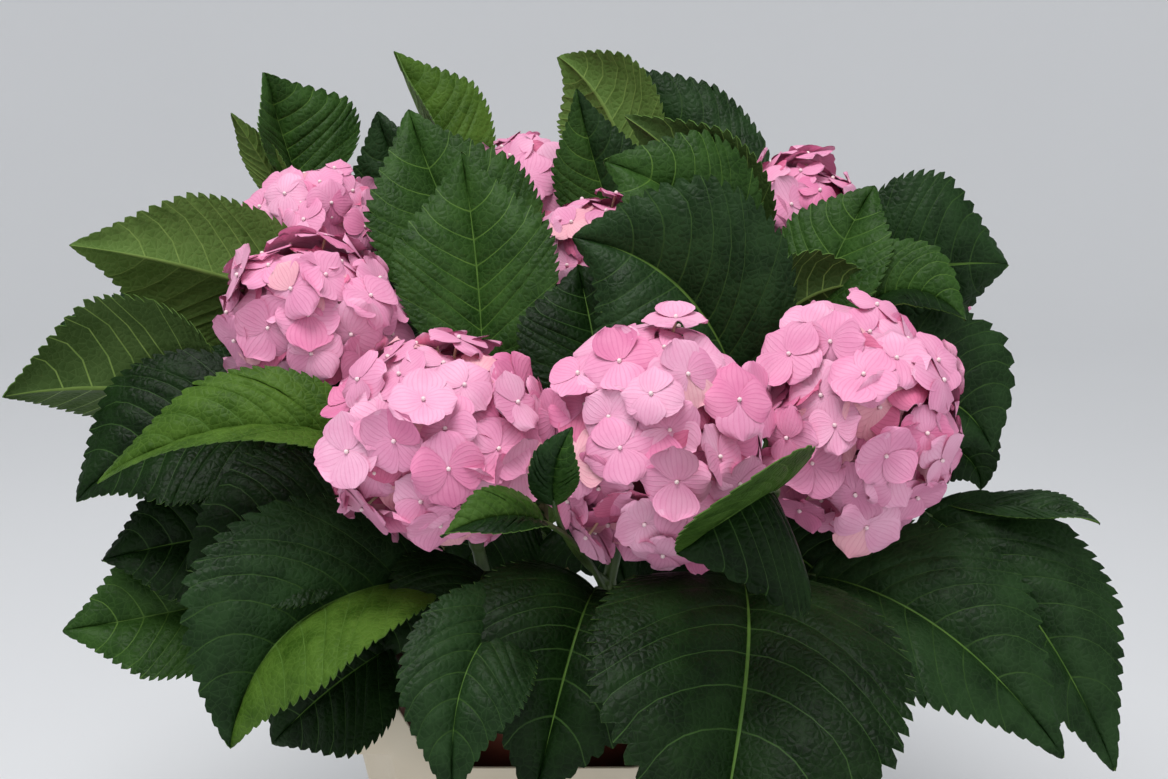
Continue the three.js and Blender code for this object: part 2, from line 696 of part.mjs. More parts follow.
function planter() {
  const outer = tubBlock(0, CORNER_CUT_TOP, 0, CORNER_CUT)
    .add(tubBlock(CORNER_CUT_TOP, PLANTER_HEIGHT, 0, 0));
  const inner = tubBlock(PLANTER_FLOOR, CORNER_CUT_TOP, PLANTER_WALL, CORNER_CUT)
    .add(tubBlock(CORNER_CUT_TOP, PLANTER_HEIGHT + OVERRUN, PLANTER_WALL, 0));
  const across = notchCutter();
  const along = across.clone().rotateZ(Math.PI / 2);
  return outer
    .subtract(inner)
    .subtract(solidOfGeometry(across))
    .subtract(solidOfGeometry(along))
    .simplify(FINEST_EDGE);
}

const potHeight = POT_TOP - PLANTER_FLOOR - GAP;

// The pot's profile, from the middle of its floor up the outside and down the inside.
function nurseryPot() {
  const profile = [
    [0, 0],
    [POT_FOOT_RADIUS, 0],
    [POT_NECK_RADIUS, potHeight - POT_RIM_DEPTH],
    [POT_RIM_RADIUS, potHeight - POT_RIM_DEPTH],
    [POT_RIM_RADIUS, potHeight],
    [POT_TOP_RADIUS - POT_WALL, potHeight],
    [POT_FOOT_RADIUS - POT_WALL, POT_WALL],
    [0, POT_WALL],
  ];
  return latheSolid(profile);
}

// The inner radius of the nursery pot at a height above its underside.
function potInside(z) {
  const share = (z - POT_WALL) / (potHeight - POT_WALL);
  return POT_FOOT_RADIUS - POT_WALL + (POT_TOP_RADIUS - POT_FOOT_RADIUS) * share;
}

// The soil fills the pot to below its rim and rises a little to the middle of a level top.
function soil() {
  const low = POT_WALL + GAP;
  const top = SOIL_TOP - PLANTER_FLOOR - GAP;
  const edge = top - SOIL_CROWN;
  const profile = [
    [0, low],
    [potInside(low) - SOIL_CLEAR, low],
    [potInside(edge) - SOIL_CLEAR, edge],
    [potInside(edge) - SOIL_SHOULDER, top],
    [0, top],
  ];
  return latheSolid(profile);
}

function latheSolid(profile) {
  const outline = profile.map(([r, z]) => new THREE.Vector2(r, z));
  return solidOfGeometry(new THREE.LatheGeometry(outline, POT_SIDES).rotateX(Math.PI / 2));
}

// The scene

const finish = (color, roughness) => new THREE.MeshStandardMaterial({ color, roughness, metalness: 0 });
const CREAM = finish(0xcdc6b9, 0.5);
const TERRACOTTA = finish(0x5a2414, 0.6);
const SOIL = finish(0x2b2019, 0.95);
const BARK = finish(0x6b6a45, 0.8);
const LEAF = finish(0x2f5a28, 0.5);
const PETAL = finish(0xf0a0c3, 0.6);

const shrub = new THREE.Group();

function addMesh(name, solid, material, height = 0) {
  const mesh = new THREE.Mesh(geometryOf(solid), material);
  mesh.name = name;
  mesh.position.z = height;
  shrub.add(mesh);
}

const planterSolid = planter();
addMesh('planter', planterSolid, CREAM);
addMesh('nursery_pot', nurseryPot(), TERRACOTTA, PLANTER_FLOOR + GAP);
addMesh('soil', soil(), SOIL, PLANTER_FLOOR + GAP);
place('planter', shapeOf(planterSolid));

for (const name of names) {
  const shape = cane(name);
  place(`cane_${name}`, shape);
  addMesh(`cane_${name}`, solidOf(shape), BARK);
  place(leafNode(name), shootStem(name));
  place(headNode(name), flowerStem(name));
  place(headNode(name), coreShape(name));
}

const leaves = SHOWN_LEAVES.map(shownLeaf);
for (const leaf of leaves) {
  place(leafNode(leaf.shoot), leafShape(leaf));
}

for (const name of names) {
  addMesh(headNode(name), fused([flowerStem(name), coreShape(name), ...florets(name)]), PETAL);
}

for (const name of names) {
  const own = [...leaves.filter((leaf) => leaf.shoot === name), ...pairLeaves(name)];
  addMesh(leafNode(name), fused([shootStem(name), ...own.map((leaf) => leafShape(leaf))]), LEAF);
}

export default shrub;
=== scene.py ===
"""A potted hydrangea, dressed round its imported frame: leaves, flower heads, shoots and canes are grown
again by the source's rule with finer detail, and planter, pot and soil get their finish."""

import math
from types import SimpleNamespace

import bmesh
import bpy
import numpy as np
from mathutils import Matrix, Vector
from mathutils.kdtree import KDTree


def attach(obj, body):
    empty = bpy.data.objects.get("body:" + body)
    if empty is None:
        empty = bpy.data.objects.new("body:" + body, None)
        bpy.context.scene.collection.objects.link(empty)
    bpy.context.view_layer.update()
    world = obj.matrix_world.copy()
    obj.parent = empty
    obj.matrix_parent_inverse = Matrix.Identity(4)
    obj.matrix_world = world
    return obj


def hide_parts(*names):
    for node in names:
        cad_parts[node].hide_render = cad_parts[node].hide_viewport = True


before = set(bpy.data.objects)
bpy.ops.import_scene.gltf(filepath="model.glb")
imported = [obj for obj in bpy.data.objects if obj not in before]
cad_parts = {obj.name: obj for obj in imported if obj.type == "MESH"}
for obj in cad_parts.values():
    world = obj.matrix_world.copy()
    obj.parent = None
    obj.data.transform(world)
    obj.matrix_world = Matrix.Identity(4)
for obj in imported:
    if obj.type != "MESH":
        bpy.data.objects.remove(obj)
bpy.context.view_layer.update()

# The rule below works in millimetres, as the source does. Meshes are made in metres.
MM = 0.001
GAP = 0.3

# A direction that no limb or floret has, from which the directions across one are found.
ODD_WAY = (0.3, 0.5, 0.81)

# Planter, nursery pot and soil. A round is the size of the steps that round off a corner, and angles
# are in degrees.
PLANTER_FLOOR = 3.0
PLANTER_ROUND = 0.9
PLANTER_SEGMENTS = 3
PLANTER_ANGLE = 14
WELD = 0.01
FLAT_ANGLE = 1
POT_SIDES = 96
POT_HUB = 0.5
POT_FOOT_RADIUS = 72.0
POT_FOOT_ROUND = 2.0
POT_NECK_RADIUS = 103.0
POT_NECK_ROUND = 0.6
POT_TOP_RADIUS = 104.0
POT_RIM_RADIUS = 107.0
POT_RIM_ROUND = 0.8
POT_RIM_DEPTH = 14.0
POT_LIP_ROUND = 1.2
POT_WALL = 2.0
POT_TOP = 197.0
POT_SHARP = 40
SOIL_TOP = 178.0
SOIL_RADIUS = 92.0
SOIL_EDGE = 0.93
SOIL_EDGE_DROP = 4.0
CRUMBS = 900
CRUMB_SIZE = (0.9, 3.2)
CRUMB_SQUASH = (0.6, 1.1)
CRUMB_SEAT = 0.25

# One cane a row: its foot on the soil, the middle of its flower head, and that head's radius and
# height for its width.
SHOOTS = {
    "west": ((-45, -15), (-140, -70, 428), 56, 0.9),
    "front_left": ((-25, -50), (-56, -150, 368), 66, 0.92),
    "front": ((25, -55), (63, -165, 368), 64, 1.15),
    "front_right": ((62, -35), (180, -125, 375), 62, 1.12),
    "east": ((50, 10), (160, 40, 471), 54, 0.95),
    "middle": ((5, 0), (35, 14, 452), 47, 1.0),
    "north": ((-5, 50), (-8, 125, 486), 52, 0.95),
    "north_west": ((-50, 35), (-153, 62, 468), 47, 0.95),
    "far_east": ((78, 20), (236, 62, 421), 50, 0.95),
    "back_right": ((45, 65), (112, 195, 425), 56, 0.95),
    "back_left": ((-35, 75), (-78, 200, 430), 56, 0.95),
}
NAMES = list(SHOOTS)
KNEE_OUT = 0.42
KNEE_UP = 0.62
HEAD_SEAT = 0.6
CANE_FOOT_RADIUS = 7.5
CANE_RADIUS = 5.2
SHOOT_RADIUS = 4.6
SHOOT_TIP_RADIUS = 3.2
FLOWER_STEM_RADIUS = 2.6
CANE_END = 0.3
SHOOT_START = 0.301
SHOOT_END = 0.86
SHOOT_TIP_SHARE = 0.8

# The rings and sides of stems, the height and length of the swellings at leaves and old scars, the
# reach of the flare at the soil, and the ridges of a cane: their height, number and winding.
CANE_RINGS = 40
CANE_SIDES = 20
SHOOT_RINGS = 90
SHOOT_SIDES = 12
NODE_SWELL = (0.9, 0.012)
FLARE_REACH = 0.03
SCARS = (0.09, 0.17, 0.25)
SCAR_SWELL = (0.7, 0.006)
RIDGES = ((0.16, 7, 9), (0.1, 13, -30), (0.08, 2, 160))

# The leaves that face the viewer: the shoot and the share of its stem where the leaf stands, the
# bend and the tip of its midrib, its width, the heading and the rise of the way its upper side
# faces, how far its halves fold up, the stalk's share of the midrib, and its colour. Folds and
# colours that differ are given for the left half and the right half. The colours hold painted
# light and shade: dark colours on leaves low down and under the heads are painted shade, the
# bluish green holds a painted bluish sheen, the brightest green is painted light, and where the
# halves differ, the darker half is painted shade and the paler one painted light.
SHOWN_LEAVES = [
    ("north_west", 0.5, (-185, 165, 470), (-201, 135, 573), 108, (15, 25), (62, 5), 0.6, "mid"),
    ("north_west", 0.48, (-178, 140, 472), (-216, 88, 545), 24, (180, 0), 5, 0.6, "fresh"),
    ("north_west", 0.75, (-199, -10, 452), (-292, -40, 467), 94, (180, 15), (30, 0), 0.15, "fresh"),
    ("north_west", 0.45, (-250, 75, 405), (-334, 70, 402), 80, (-10, 60), 12, 0.4, "blue"),
    ("north", 0.55, (-88, 100, 440), (-118, 100, 546), 92, (-20, 15), 12, 0.4, "blue"),
    ("north", 0.6, (-80, 175, 500), (-113, 165, 588), 92, (10, 35), (80, 10), 0.45, "bright"),
    ("middle", 0.65, (-60, 25, 445), (-92, 55, 548), 112, (10, 20), 12, 0.3, "mid"),
    ("middle", 0.36, (-24, -30, 322), (-58, -34, 250), 92, (0, 20), 8, 0.3, "dark"),
    ("middle", 0.38, (30, -29, 320), (52, -32, 246), 92, (0, 20), 8, 0.3, "dark"),
    ("west", 0.5, (-220, -15, 390), (-330, -65, 377), 118, (180, 10), (0, 50), 0.45, "mid"),
    ("west", 0.6, (-215, -65, 390), (-282, -85, 316), 105, (-20, 35), 12, 0.3, "dark"),
    ("west", 0.4, (-190, -50, 295), (-273, -70, 275), 88, (-15, 35), 12, 0.4, "dark"),
    ("west", 0.36, (-190, -50, 240), (-298, -75, 232), 90, (-15, 30), 12, 0.45, "mid"),
    ("front_left", 0.62, (-30, -55, 400), (-52, -20, 523), 98, (0, 15), 12, 0.45, "mid"),
    ("front_left", 0.6, (-121, -152, 425), (-250, -150, 343), 68, (-10, 40), (45, 10), 0.34, "bright"),
    ("front_left", 0.4, (-140, -115, 330), (-205, -135, 287), 115, (-10, 50), 12, 0.35, "dark"),
    ("front_left", 0.45, (-155, -180, 303), (-172, -190, 202), 128, (25, 22), (64, 4), 0.14,
     "bright", "blue"),
    ("front_left", 0.36, (-110, -140, 240), (-158, -140, 184), 90, (0, 40), 12, 0.4, "dark"),
    ("front_left", 0.4, (-32, -140, 312), (-48, -150, 228), 96, (0, 25), 12, 0.3, "dark"),
    ("front_left", 0.36, (-70, -110, 296), (-104, -118, 226), 80, (0, 30), 12, 0.3, "dark"),
    ("front", 0.7, (35, -80, 400), (20, -45, 455), 88, (0, 20), 12, 0.4, "dark"),
    ("front", 0.4, (-54, -240, 316), (-44, -246, 192), 68, (0, 20), (8, 14), 0.32, "blue"),
    ("front", 0.36, (30, -204, 332), (-4, -224, 180), 118, (0, 25), 12, 0.3, "dark"),
    ("front", 0.34, (66, -138, 318), (88, -154, 236), 88, (0, 25), 12, 0.35, "dark"),
    ("front", 0.4, (10, -262, 376), (-48, -250, 338), 31, (0, 25), (50, 0), 0.5, "dark", "fresh"),
    ("front", 0.45, (-10, -250, 350), (18, -235, 392), 26, (0, 10), 12, 0.55, "blue", "mid"),
    ("front_right", 0.45, (132, -220, 330), (82, -300, 155), 165, (5, 35), 12, 0.3, "dark"),
    ("front_right", 0.5, (158, -285, 407), (72, -235, 326), 118, (0, 15), (0, 78), 0.58, "dark", "fresh"),
    ("front_right", 0.36, (200, -150, 320), (290, -190, 196), 110, (5, 45), 12, 0.3, "blue"),
    ("front_right", 0.4, (152, -104, 325), (188, -120, 236), 98, (0, 25), 12, 0.3, "dark"),
    ("front_right", 0.7, (120, -80, 460), (17, -65, 474), 130, (-5, 10), 12, 0.3, "blue"),
    ("front_right", 0.6, (165, -40, 445), (205, -20, 502), 75, (-30, 20), 12, 0.4, "mid"),
    ("front_right", 0.5, (105, -50, 450), (205, -54, 445), 60, (180, 20), 0, 0.5, "mid"),
    ("front_right", 0.65, (190, -40, 490), (252, -75, 425), 60, (0, 50), 30, 0.5, "mid", "dark"),
    ("front_right", 0.6, (240, -45, 425), (275, -60, 342), 105, (15, 15), 12, 0.4, "blue"),
    ("east", 0.75, (135, -45, 490), (49, -10, 545), 75, (180, 30), 0, 0.3, "dark"),
    ("east", 0.7, (125, -65, 495), (36, -40, 518), 88, (0, 25), 12, 0.35, "mid"),
    ("east", 0.6, (45, 85, 435), (19, 78, 562), 62, (0, 10), 12, 0.5, "mid", "blue"),
    ("east", 0.6, (182, 150, 484), (30, 155, 580), 88, (0, 30), 12, 0.4, "blue"),
    ("east", 0.8, (215, -30, 460), (291, -15, 453), 115, (5, 10), (0, -35), 0.4, "blue"),
    ("east", 0.7, (150, 130, 430), (182, 110, 520), 85, (0, 20), 12, 0.4, "mid"),
    ("far_east", 0.5, (275, -60, 335), (345, -110, 155), 108, (10, 40), 12, 0.4, "blue"),
    ("far_east", 0.4, (309, -50, 311), (339, -75, 300), 34, (0, 75), 12, 0.4, "blue"),
    ("far_east", 0.6, (284, 0, 352), (283, 0, 303), 52, (15, 20), 12, 0.35, "dark"),
    ("back_right", 0.6, (75, 105, 540), (6, 140, 584), 75, (180, 30), 0, 0.5, "fresh"),
]

# The other leaves stand in opposite pairs, each pair turned a quarter from the one below it.
PAIR_LEVELS = [0.34, 0.41, 0.48, 0.56, 0.64, 0.72, 0.8]
FIRST_TURN = 45
PAIR_TURN = 90
TRIES = 16
SWING = 30
SWING_PER_TRY = 8
LEAF_LENGTH = (105, 155)
SHORTEST = 0.62
KNEE_REACH = 0.6
KNEE_LIFT = (0.2, 0.75)
KNEE_CHANCE = 0.3
TIP_REACH = 1.15
TIP_LIFT = (-0.55, 0.75)
TIP_CHANCE = 0.5
FACE_LEAN = (-0.54, 0.36)
LEAF_FOLD = (4, 24)
LEAF_WIDTH_SHARE = 0.7
LEAF_STALK = (0.22, 0.34)

# Seeds, counted out as in the source, and those of the finer detail.
PAIR_SEEDS = 50000
LEVEL_SLOTS = 10
TRY_SLOTS = 20
HEAD_SEEDS = 90000
HEAD_SLOTS = 1000
BLADE_SEEDS = 700
CANE_SEEDS = 300
CRUMB_SEED = 4100
FLORET_SEEDS = 1e6
SEED_STEP = 7919
SEED_START = 104729
CHANCE_STEP = 16807
CHANCE_RANGE = 2147483647

# Leaf blades: outline, teeth, veins and relief. Their tips are more drawn out than in the solids. The
# leaves that face the viewer have a fine blade. Fine and plain ones are given by the steps of a
# tooth, the least and most teeth, and the columns of points from the midrib to the edge.
BLADE_SHIFT = 0.86
BLADE_FULLNESS = 0.62
TIP_START = 0.62
TIP_NARROWING = 0.66
LEAF_THICKNESS = 0.6
TOOTH_SPACING = 5.4
TOOTH_DEPTH = 0.036
TOOTH_FULL = 1.6
TOOTH_LEAN = 0.6
TOOTH_PULL = (0.9, 0.3)
TOOTH_SHAPE = ((0.0, 0.4, 0.82, 1.0), (0.0, 0.75, 1.0, 0.0))
TOOTHED = (0.02, 0.975)
TIP_ROWS = (0.99, 1.0)
FINE_BLADE = ((0.0, 0.4, 0.82), (14, 25), (0.0, 0.016, 0.14, 0.3, 0.46, 0.62, 0.78, 0.92, 1.0))
PLAIN_BLADE = ((0.0, 0.82), (12, 20), (0.0, 0.018, 0.3, 0.6, 0.86, 1.0))
UNDER_COLUMNS = (0.0, 0.032, 0.35, 0.7, 1.0)
HALF_ARCH = 0.1
VEINS = (0.03, 0.1, 0.18, 0.27, 0.37, 0.48, 0.6, 0.73)
VEIN_SWEEP = 0.42
VEIN_CURVE = 1.3
SWEEP_START = 0.15
SWEEP_STEPS = 2001
VEIN_WIDTH = (0.42, 0.16)
VEIN_WIDEST = 1.2
VEIN_LENGTH = 90
VEIN_CLEAR = 0.0045
PUCKER = 1.15
PUCKER_SPREAD = (0.8, 1.25)
PUCKER_LENGTH = 100
PUCKER_ROUND = 0.7
PUCKER_START = 0.1
PUCKER_FADE = 0.8
RIB_SHARE = 0.02
RIB_DEPTH = 0.9
RIB_TAPER = 0.75
EDGE_WAVE = 1.8
EDGE_WAVES = (5, 9)
TINY = 1e-6

STALK_RADIUS = 2.1
STALK_TIP_RADIUS = 1.4
STALK_FOOT_RADIUS = 3.0
STALK_CLASP = 0.12
STALK_REACH = 1.06
STALK_RINGS = 9
STALK_SIDES = 8

# Flower heads: an outer layer of florets on three depths, and deeper ones that fill its gaps. All of
# them lean a little towards the viewer and up.
FLORETS = 64
INNER_FLORETS = 34
FLORETS_RADIUS = 62.0
FLORETS_POWER = 1.5
FLORET_RADIUS = (17.0, 22.0)
FULL_SIZE_HEAD = 56
INNER_DEPTH = 0.8
LAYER_STEP = 0.065
LAYERS = 3
FLORET_TILT = 25
FLORET_SHIFT = 0.3
LIGHT_LEAN = np.array([0.0, -0.2, 0.1])
FLORET_SINK = 0.03
FLORET_SEAT = 2
FLORET_PUSH = 0.05
FLORET_PUSHES = 4
FLORET_CLEAR = 4.5
RIM_POINTS = 8
SEARCH_ALONG = (0.02, 1, 26)
SEARCH_ACROSS = (-1, 1, 17)
GOLDEN_ANGLE = math.pi * (3 - math.sqrt(5))
UNDERSIDE = -0.72
FLORET_CUP = (-0.1, 0.26)
TOP_BOW = 0.2

# Petals: the rows and columns of points on their face and back, their outline, and how they bend.
PETAL_GRID = ((0.05, 0.16, 0.32, 0.48, 0.64, 0.78, 0.9, 0.98),
              (-1.0, -0.75, -0.45, -0.15, 0.15, 0.45, 0.75, 1.0))
BACK_GRID = ((0.05, 0.32, 0.64, 0.9, 0.98), (-1.0, -0.5, 0.0, 0.5, 1.0))
PETAL_FOOT = 0.13
PETAL_THICKNESS = 0.35
PETAL_SHIFT = 1.28
PETAL_FULLNESS = 0.5
PETAL_WIDTH = 0.63
PETAL_SIZE = (0.9, 1.06)
PETAL_TURN = 0.16
PETAL_WAVES = (2.0, 5.0)
PETAL_EDGE_WAVE = 0.05
PETAL_BLUNT = (0.6, 0.05)
PETAL_NICK = (0.85, 0.03)
PETAL_RIPPLE = 0.028
PETAL_CUP = (-0.17, 0.17)
PETAL_CURL = (-0.2, 0.1)
PETAL_BOW = 0.5
PAIR_LIFT = 1.5

# The bead and the stalk of a floret, and the dark ball of painted shade inside a head.
BEAD_RADIUS = 1.35
BEAD_RINGS = (-0.3, 0.35, 0.8)
BEAD_SIDES = 6
FLORET_STALK_START = 0.3
FLORET_STALK_GAP = 0.3
FLORET_STALK_RADII = (1.0, 0.8, 0.9)
FLORET_STALK_SIDES = 4
SHADE_BALL_SHARE = 0.6
SHADE_BALL_RINGS = 18
SHADE_BALL_SIDES = 28
SHADE_BALL_POLE = 0.08
SHADE_BALL_KNOBS = 0.09

# How the finishes drift between their tones, and their fine grain.
DRIFT_DETAIL = 6.0
DRIFT_STOPS = (0.36, 0.64)
ROUGHNESS_SPREAD = (-0.06, 0.08)
GRAIN_DETAIL = 4.0
GRAIN_DEPTH = 0.0006

# Leaf finishes: their two tones, the colour of the fine net of veins, and the roughness. The dark
# finish is partly painted shade, the blue one is dark green with a painted bluish sheen, the bright
# one is painted light, and the paler underside is partly painted light.
LEAF_FINISHES = {
    "leaf_dark_and_shaded": ((10, 27, 6), (21, 42, 14), (31, 56, 23), 0.42),
    "leaf_blue_sheen": ((20, 40, 16), (35, 59, 29), (48, 73, 40), 0.4),
    "leaf_mid": ((31, 57, 18), (49, 79, 31), (65, 96, 44), 0.42),
    "leaf_lit": ((51, 79, 20), (74, 104, 35), (92, 122, 50), 0.46),
    "leaf_fresh": ((39, 65, 18), (61, 90, 33), (79, 106, 47), 0.46),
    "leaf_under": ((54, 76, 33), (64, 86, 41), (80, 102, 54), 0.6),
    "leaf_under_pale_and_lit": ((76, 102, 44), (88, 114, 54), (104, 128, 68), 0.58),
}
LEAF_DRIFT = 48
LEAF_GRAIN = (0.3, 700.0)
LEAF_SHINE = 0.1
NET_SCALE = 230.0
NET_LINE = 0.07
NET_STRENGTH = 0.42
NET_RELIEF = (0.7, 0.0012)

# Side veins, midribs and rims of leaves: their two tones and the roughness.
VEIN_FINISHES = {
    "leaf_vein": ((42, 67, 28), (53, 80, 36), 0.45),
    "leaf_vein_light": ((70, 101, 40), (84, 115, 48), 0.45),
    "leaf_rib": ((100, 126, 60), (114, 138, 70), 0.55),
    # The rim is pale, partly a painted highlight along the leaf's edge.
    "leaf_edge_highlight": ((74, 104, 44), (88, 118, 54), 0.5),
}
VEIN_DRIFT = 90
VEIN_SHINE = 0.12

# The numbers of these finishes for each colour: the upper side, the lower side and the side veins.
# The dark and blue colours carry painted shade and sheen, and the bright one painted light on both sides.
LEAF_KINDS = {"dark": (0, 5, 7), "blue": (1, 5, 7), "mid": (2, 5, 8), "bright": (3, 6, 8), "fresh": (4, 6, 8)}
MIDRIB = 8
RIB = 9
# The rim's finish, pale and partly a painted highlight.
EDGE = 10

# Petal finishes: their two tones and the colour of their streaks.
PETAL_FINISHES = {
    "petal_heart": ((224, 126, 167), (232, 142, 180), (208, 101, 146)),
    "petal_pink": ((230, 147, 185), (238, 163, 197), (214, 119, 161)),
    "petal_light": ((235, 161, 195), (242, 179, 208), (222, 135, 174)),
    "petal_deep": ((223, 125, 168), (232, 143, 181), (204, 100, 147)),
    "petal_peach": ((238, 167, 184), (243, 183, 194), (226, 142, 166)),
    "petal_back": ((236, 163, 196), (242, 180, 209), (224, 141, 179)),
    # The inner florets' deeper tone is painted shade inside a head.
    "petal_inner_shade": ((216, 107, 147), (225, 124, 161), (196, 85, 127)),
}
PETAL_ROUGHNESS = 0.58
PETAL_DRIFT = 60
PETAL_GRAIN = (0.3, 500.0)
PETAL_SHINE = 0.25
MARKS = "marks"
STREAK_STEP = 6.3
STREAK_WAVE = {"Scale": 1.4, "Distortion": 1.6, "Detail": 2.0, "Detail Scale": 1.5}
STREAK_FROM = 0.72
STREAK_STRENGTH = 0.34
STREAK_RELIEF = (0.5, 0.0005)

# The numbers of these finishes: a petal's foot, the tones that the petals of one floret share, a
# petal's back, and the tones of the inner florets, deeper as painted shade inside a head.
HEART = 0
PETAL_TONES = [(1,), (1,), (1, 2), (1, 1, 2), (2,), (3, 1), (2, 1, 4)]
PETAL_BACK = 5
INNER_SHADE_TONES = (6, 6, 3, 4)

# The other finishes: two tones, roughness, scale of the drift, and strength and scale of the grain.
FINISHES = {
    "green_stem": ((54, 77, 30), (70, 93, 38), 0.5, 60, 0.4, 600.0),
    "cane_bark": ((104, 92, 62), (142, 128, 92), 0.8, 120, 0.8, 500.0),
    "floret_bead": ((246, 214, 222), (251, 228, 226), 0.5, 200),
    # The dark ball inside each head is painted shade.
    "head_painted_shade": ((132, 64, 82), (166, 92, 104), 0.8, 60, 0.8, 150.0),
    "floret_stalk": ((196, 188, 128), (214, 170, 160), 0.6, 60),
    "red_brown_plastic": ((74, 30, 18), (92, 40, 24), 0.55, 20, 0.3, 300.0),
    "cream_plastic": ((212, 199, 176), (220, 208, 187), 0.38, 9, 0.12, 220.0),
    "peat": ((38, 28, 21), (62, 46, 34), 0.9, 90, 1.0, 260.0),
    "peat_crumbs": ((44, 32, 24), (70, 52, 38), 0.9, 200),
    "bark_crumbs": ((78, 54, 36), (104, 76, 52), 0.85, 200),
    "studio_grey": ((206, 207, 209), (208, 209, 211), 0.9, 1),
}

# The camera stands where the photograph was taken from and looks down a little.
CAMERA_PLACE = (0.024, -1.0833, 0.561)
CAMERA_TARGET = (0.024, 0.0, 0.370)
CAMERA_LENS = 52.4

# The pale stage gives off a little light of its own, so that it is as light as in the photograph.
STAGE_GLOW = 0.28
STAGE_GLOW_COLOUR = (206, 208, 210)
STAGE_FLOOR = (0.01, 1.5, 2.9)
STAGE_SWEEP = 1.3
STAGE_SWEEP_STEPS = 12
STAGE_TOP = 4.5
STAGE_SIDES = 96

# Light from all sides, and two soft boxes: their place, size and power.
WORLD_COLOUR = (236, 238, 242)
WORLD_STRENGTH = 0.38
LIGHT_TARGET = (0, 0, 0.35)
SOFT_BOXES = {
    "soft_box_above": ((-0.35, -0.85, 2.4), 1.2, 42),
    "soft_box_front": ((0.8, -2.2, 1.3), 1.6, 8),
}


def chances(seed):
    """Chances between 0 and 1 that are always the same for the same seed."""
    state = (seed * SEED_STEP + SEED_START) % CHANCE_RANGE
    while True:
        state = (state * CHANCE_STEP) % CHANCE_RANGE
        yield state / CHANCE_RANGE


def between(limits, share):
    return limits[0] + (limits[1] - limits[0]) * share


def unit(v):
    v = np.asarray(v, float)
    return v / np.linalg.norm(v, axis=-1, keepdims=True)


def around(sides):
    """Even turns round a circle."""
    return 2 * np.pi * np.arange(sides) / sides


def crosswise(way):
    """Two directions at right angles to a way and to each other."""
    side = unit(np.cross(way, ODD_WAY))
    return side, np.cross(way, side)


def heading_vector(heading, rise):
    """A unit vector by heading and rise in degrees. Heading 0 is towards the viewer, 90 right."""
    h, r = math.radians(heading), math.radians(rise)
    return np.array([math.sin(h) * math.cos(r), -math.cos(h) * math.cos(r), math.sin(r)])


def bend(start, knee, end, share):
    """Points on the curve from start to end that bends towards the knee."""
    s = np.asarray(share, float)[..., None]
    return (1 - s) ** 2 * start + 2 * (1 - s) * s * knee + s * s * end


def bend_way(start, knee, end, share):
    s = np.asarray(share, float)[..., None]
    return unit(2 * (1 - s) * (knee - start) + 2 * s * (end - knee))


def stem_of(name):
    """The start, knee and end of a stem, and its axis at the head."""
    foot, head, radius, tall = SHOOTS[name]
    head = np.array(head, float)
    start = np.array([foot[0], foot[1], SOIL_TOP + GAP])
    knee = start + (head - start) * np.array([KNEE_OUT, KNEE_OUT, KNEE_UP])
    axis = unit(head - knee)
    return start, knee, head - axis * radius * tall * HEAD_SEAT, axis


def stem_point(name, share):
    start, knee, end, _ = stem_of(name)
    return bend(start, knee, end, share)


def placed(name, data):
    """A new object of the scene."""
    made = bpy.data.objects.new(name, data)
    bpy.context.scene.collection.objects.link(made)
    return made


class Soup:
    """Points and faces gathered for one joined mesh, each face with the number of its material."""

    def __init__(self):
        self.points = []
        self.faces = []
        self.kinds = []
        self.marks = []
        self.count = 0

    def add(self, points, faces, kinds, marks=None):
        """Adds faces, given as rows of four corners, or three with the last one repeated. marks are two
        numbers a point that a finish can follow."""
        points = np.asarray(points, float).reshape(-1, 3)
        faces = np.asarray(faces, int)
        self.points.append(points)
        self.faces.append(faces + self.count)
        self.kinds.append(np.broadcast_to(np.asarray(kinds, int), (len(faces),)))
        self.marks.append(np.zeros((len(points), 2)) if marks is None else marks.reshape(-1, 2))
        self.count += len(points)

    def piece(self, name, materials, smooth=True):
        """One Blender object with all that was added."""
        points = np.concatenate(self.points) * MM
        faces = np.concatenate(self.faces)
        kinds = np.concatenate(self.kinds)
        rows = [tuple(f) if f[2] != f[3] else tuple(f[:3]) for f in faces.tolist()]
        mesh = bpy.data.meshes.new(name)
        mesh.from_pydata(points.tolist(), [], rows)
        for material in materials:
            mesh.materials.append(material)
        mesh.polygons.foreach_set("material_index", kinds.astype(np.int32))
        mesh.polygons.foreach_set("use_smooth", np.full(len(rows), smooth))
        marks = np.concatenate(self.marks)
        if marks.any():
            layer = mesh.uv_layers.new(name=MARKS)
            layer.data.foreach_set("uv", marks[np.concatenate(rows)].ravel().astype(np.float32))
        mesh.update()
        piece = placed(name, mesh)
        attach(piece, "root")
        return piece


def grid_faces(rows, columns, wrap=False):
    """Corner numbers of the faces of a grid of points, row after row."""
    across = columns if wrap else columns - 1
    i, j = np.meshgrid(np.arange(rows - 1), np.arange(across), indexing="ij")
    k = (j + 1) % columns
    a, b = i * columns + j, i * columns + k
    return np.stack([a, b, b + columns, a + columns], -1).reshape(-1, 4)


def revolved(profile, sides):
    """Rings of points round the upright axis, one for each radius and height of a profile."""
    profile = np.array(profile, float)
    turn = around(sides)
    return np.stack([profile[:, :1] * np.cos(turn),
                     profile[:, :1] * np.sin(turn),
                     profile[:, 1:] + 0 * turn], -1).reshape(-1, 3)


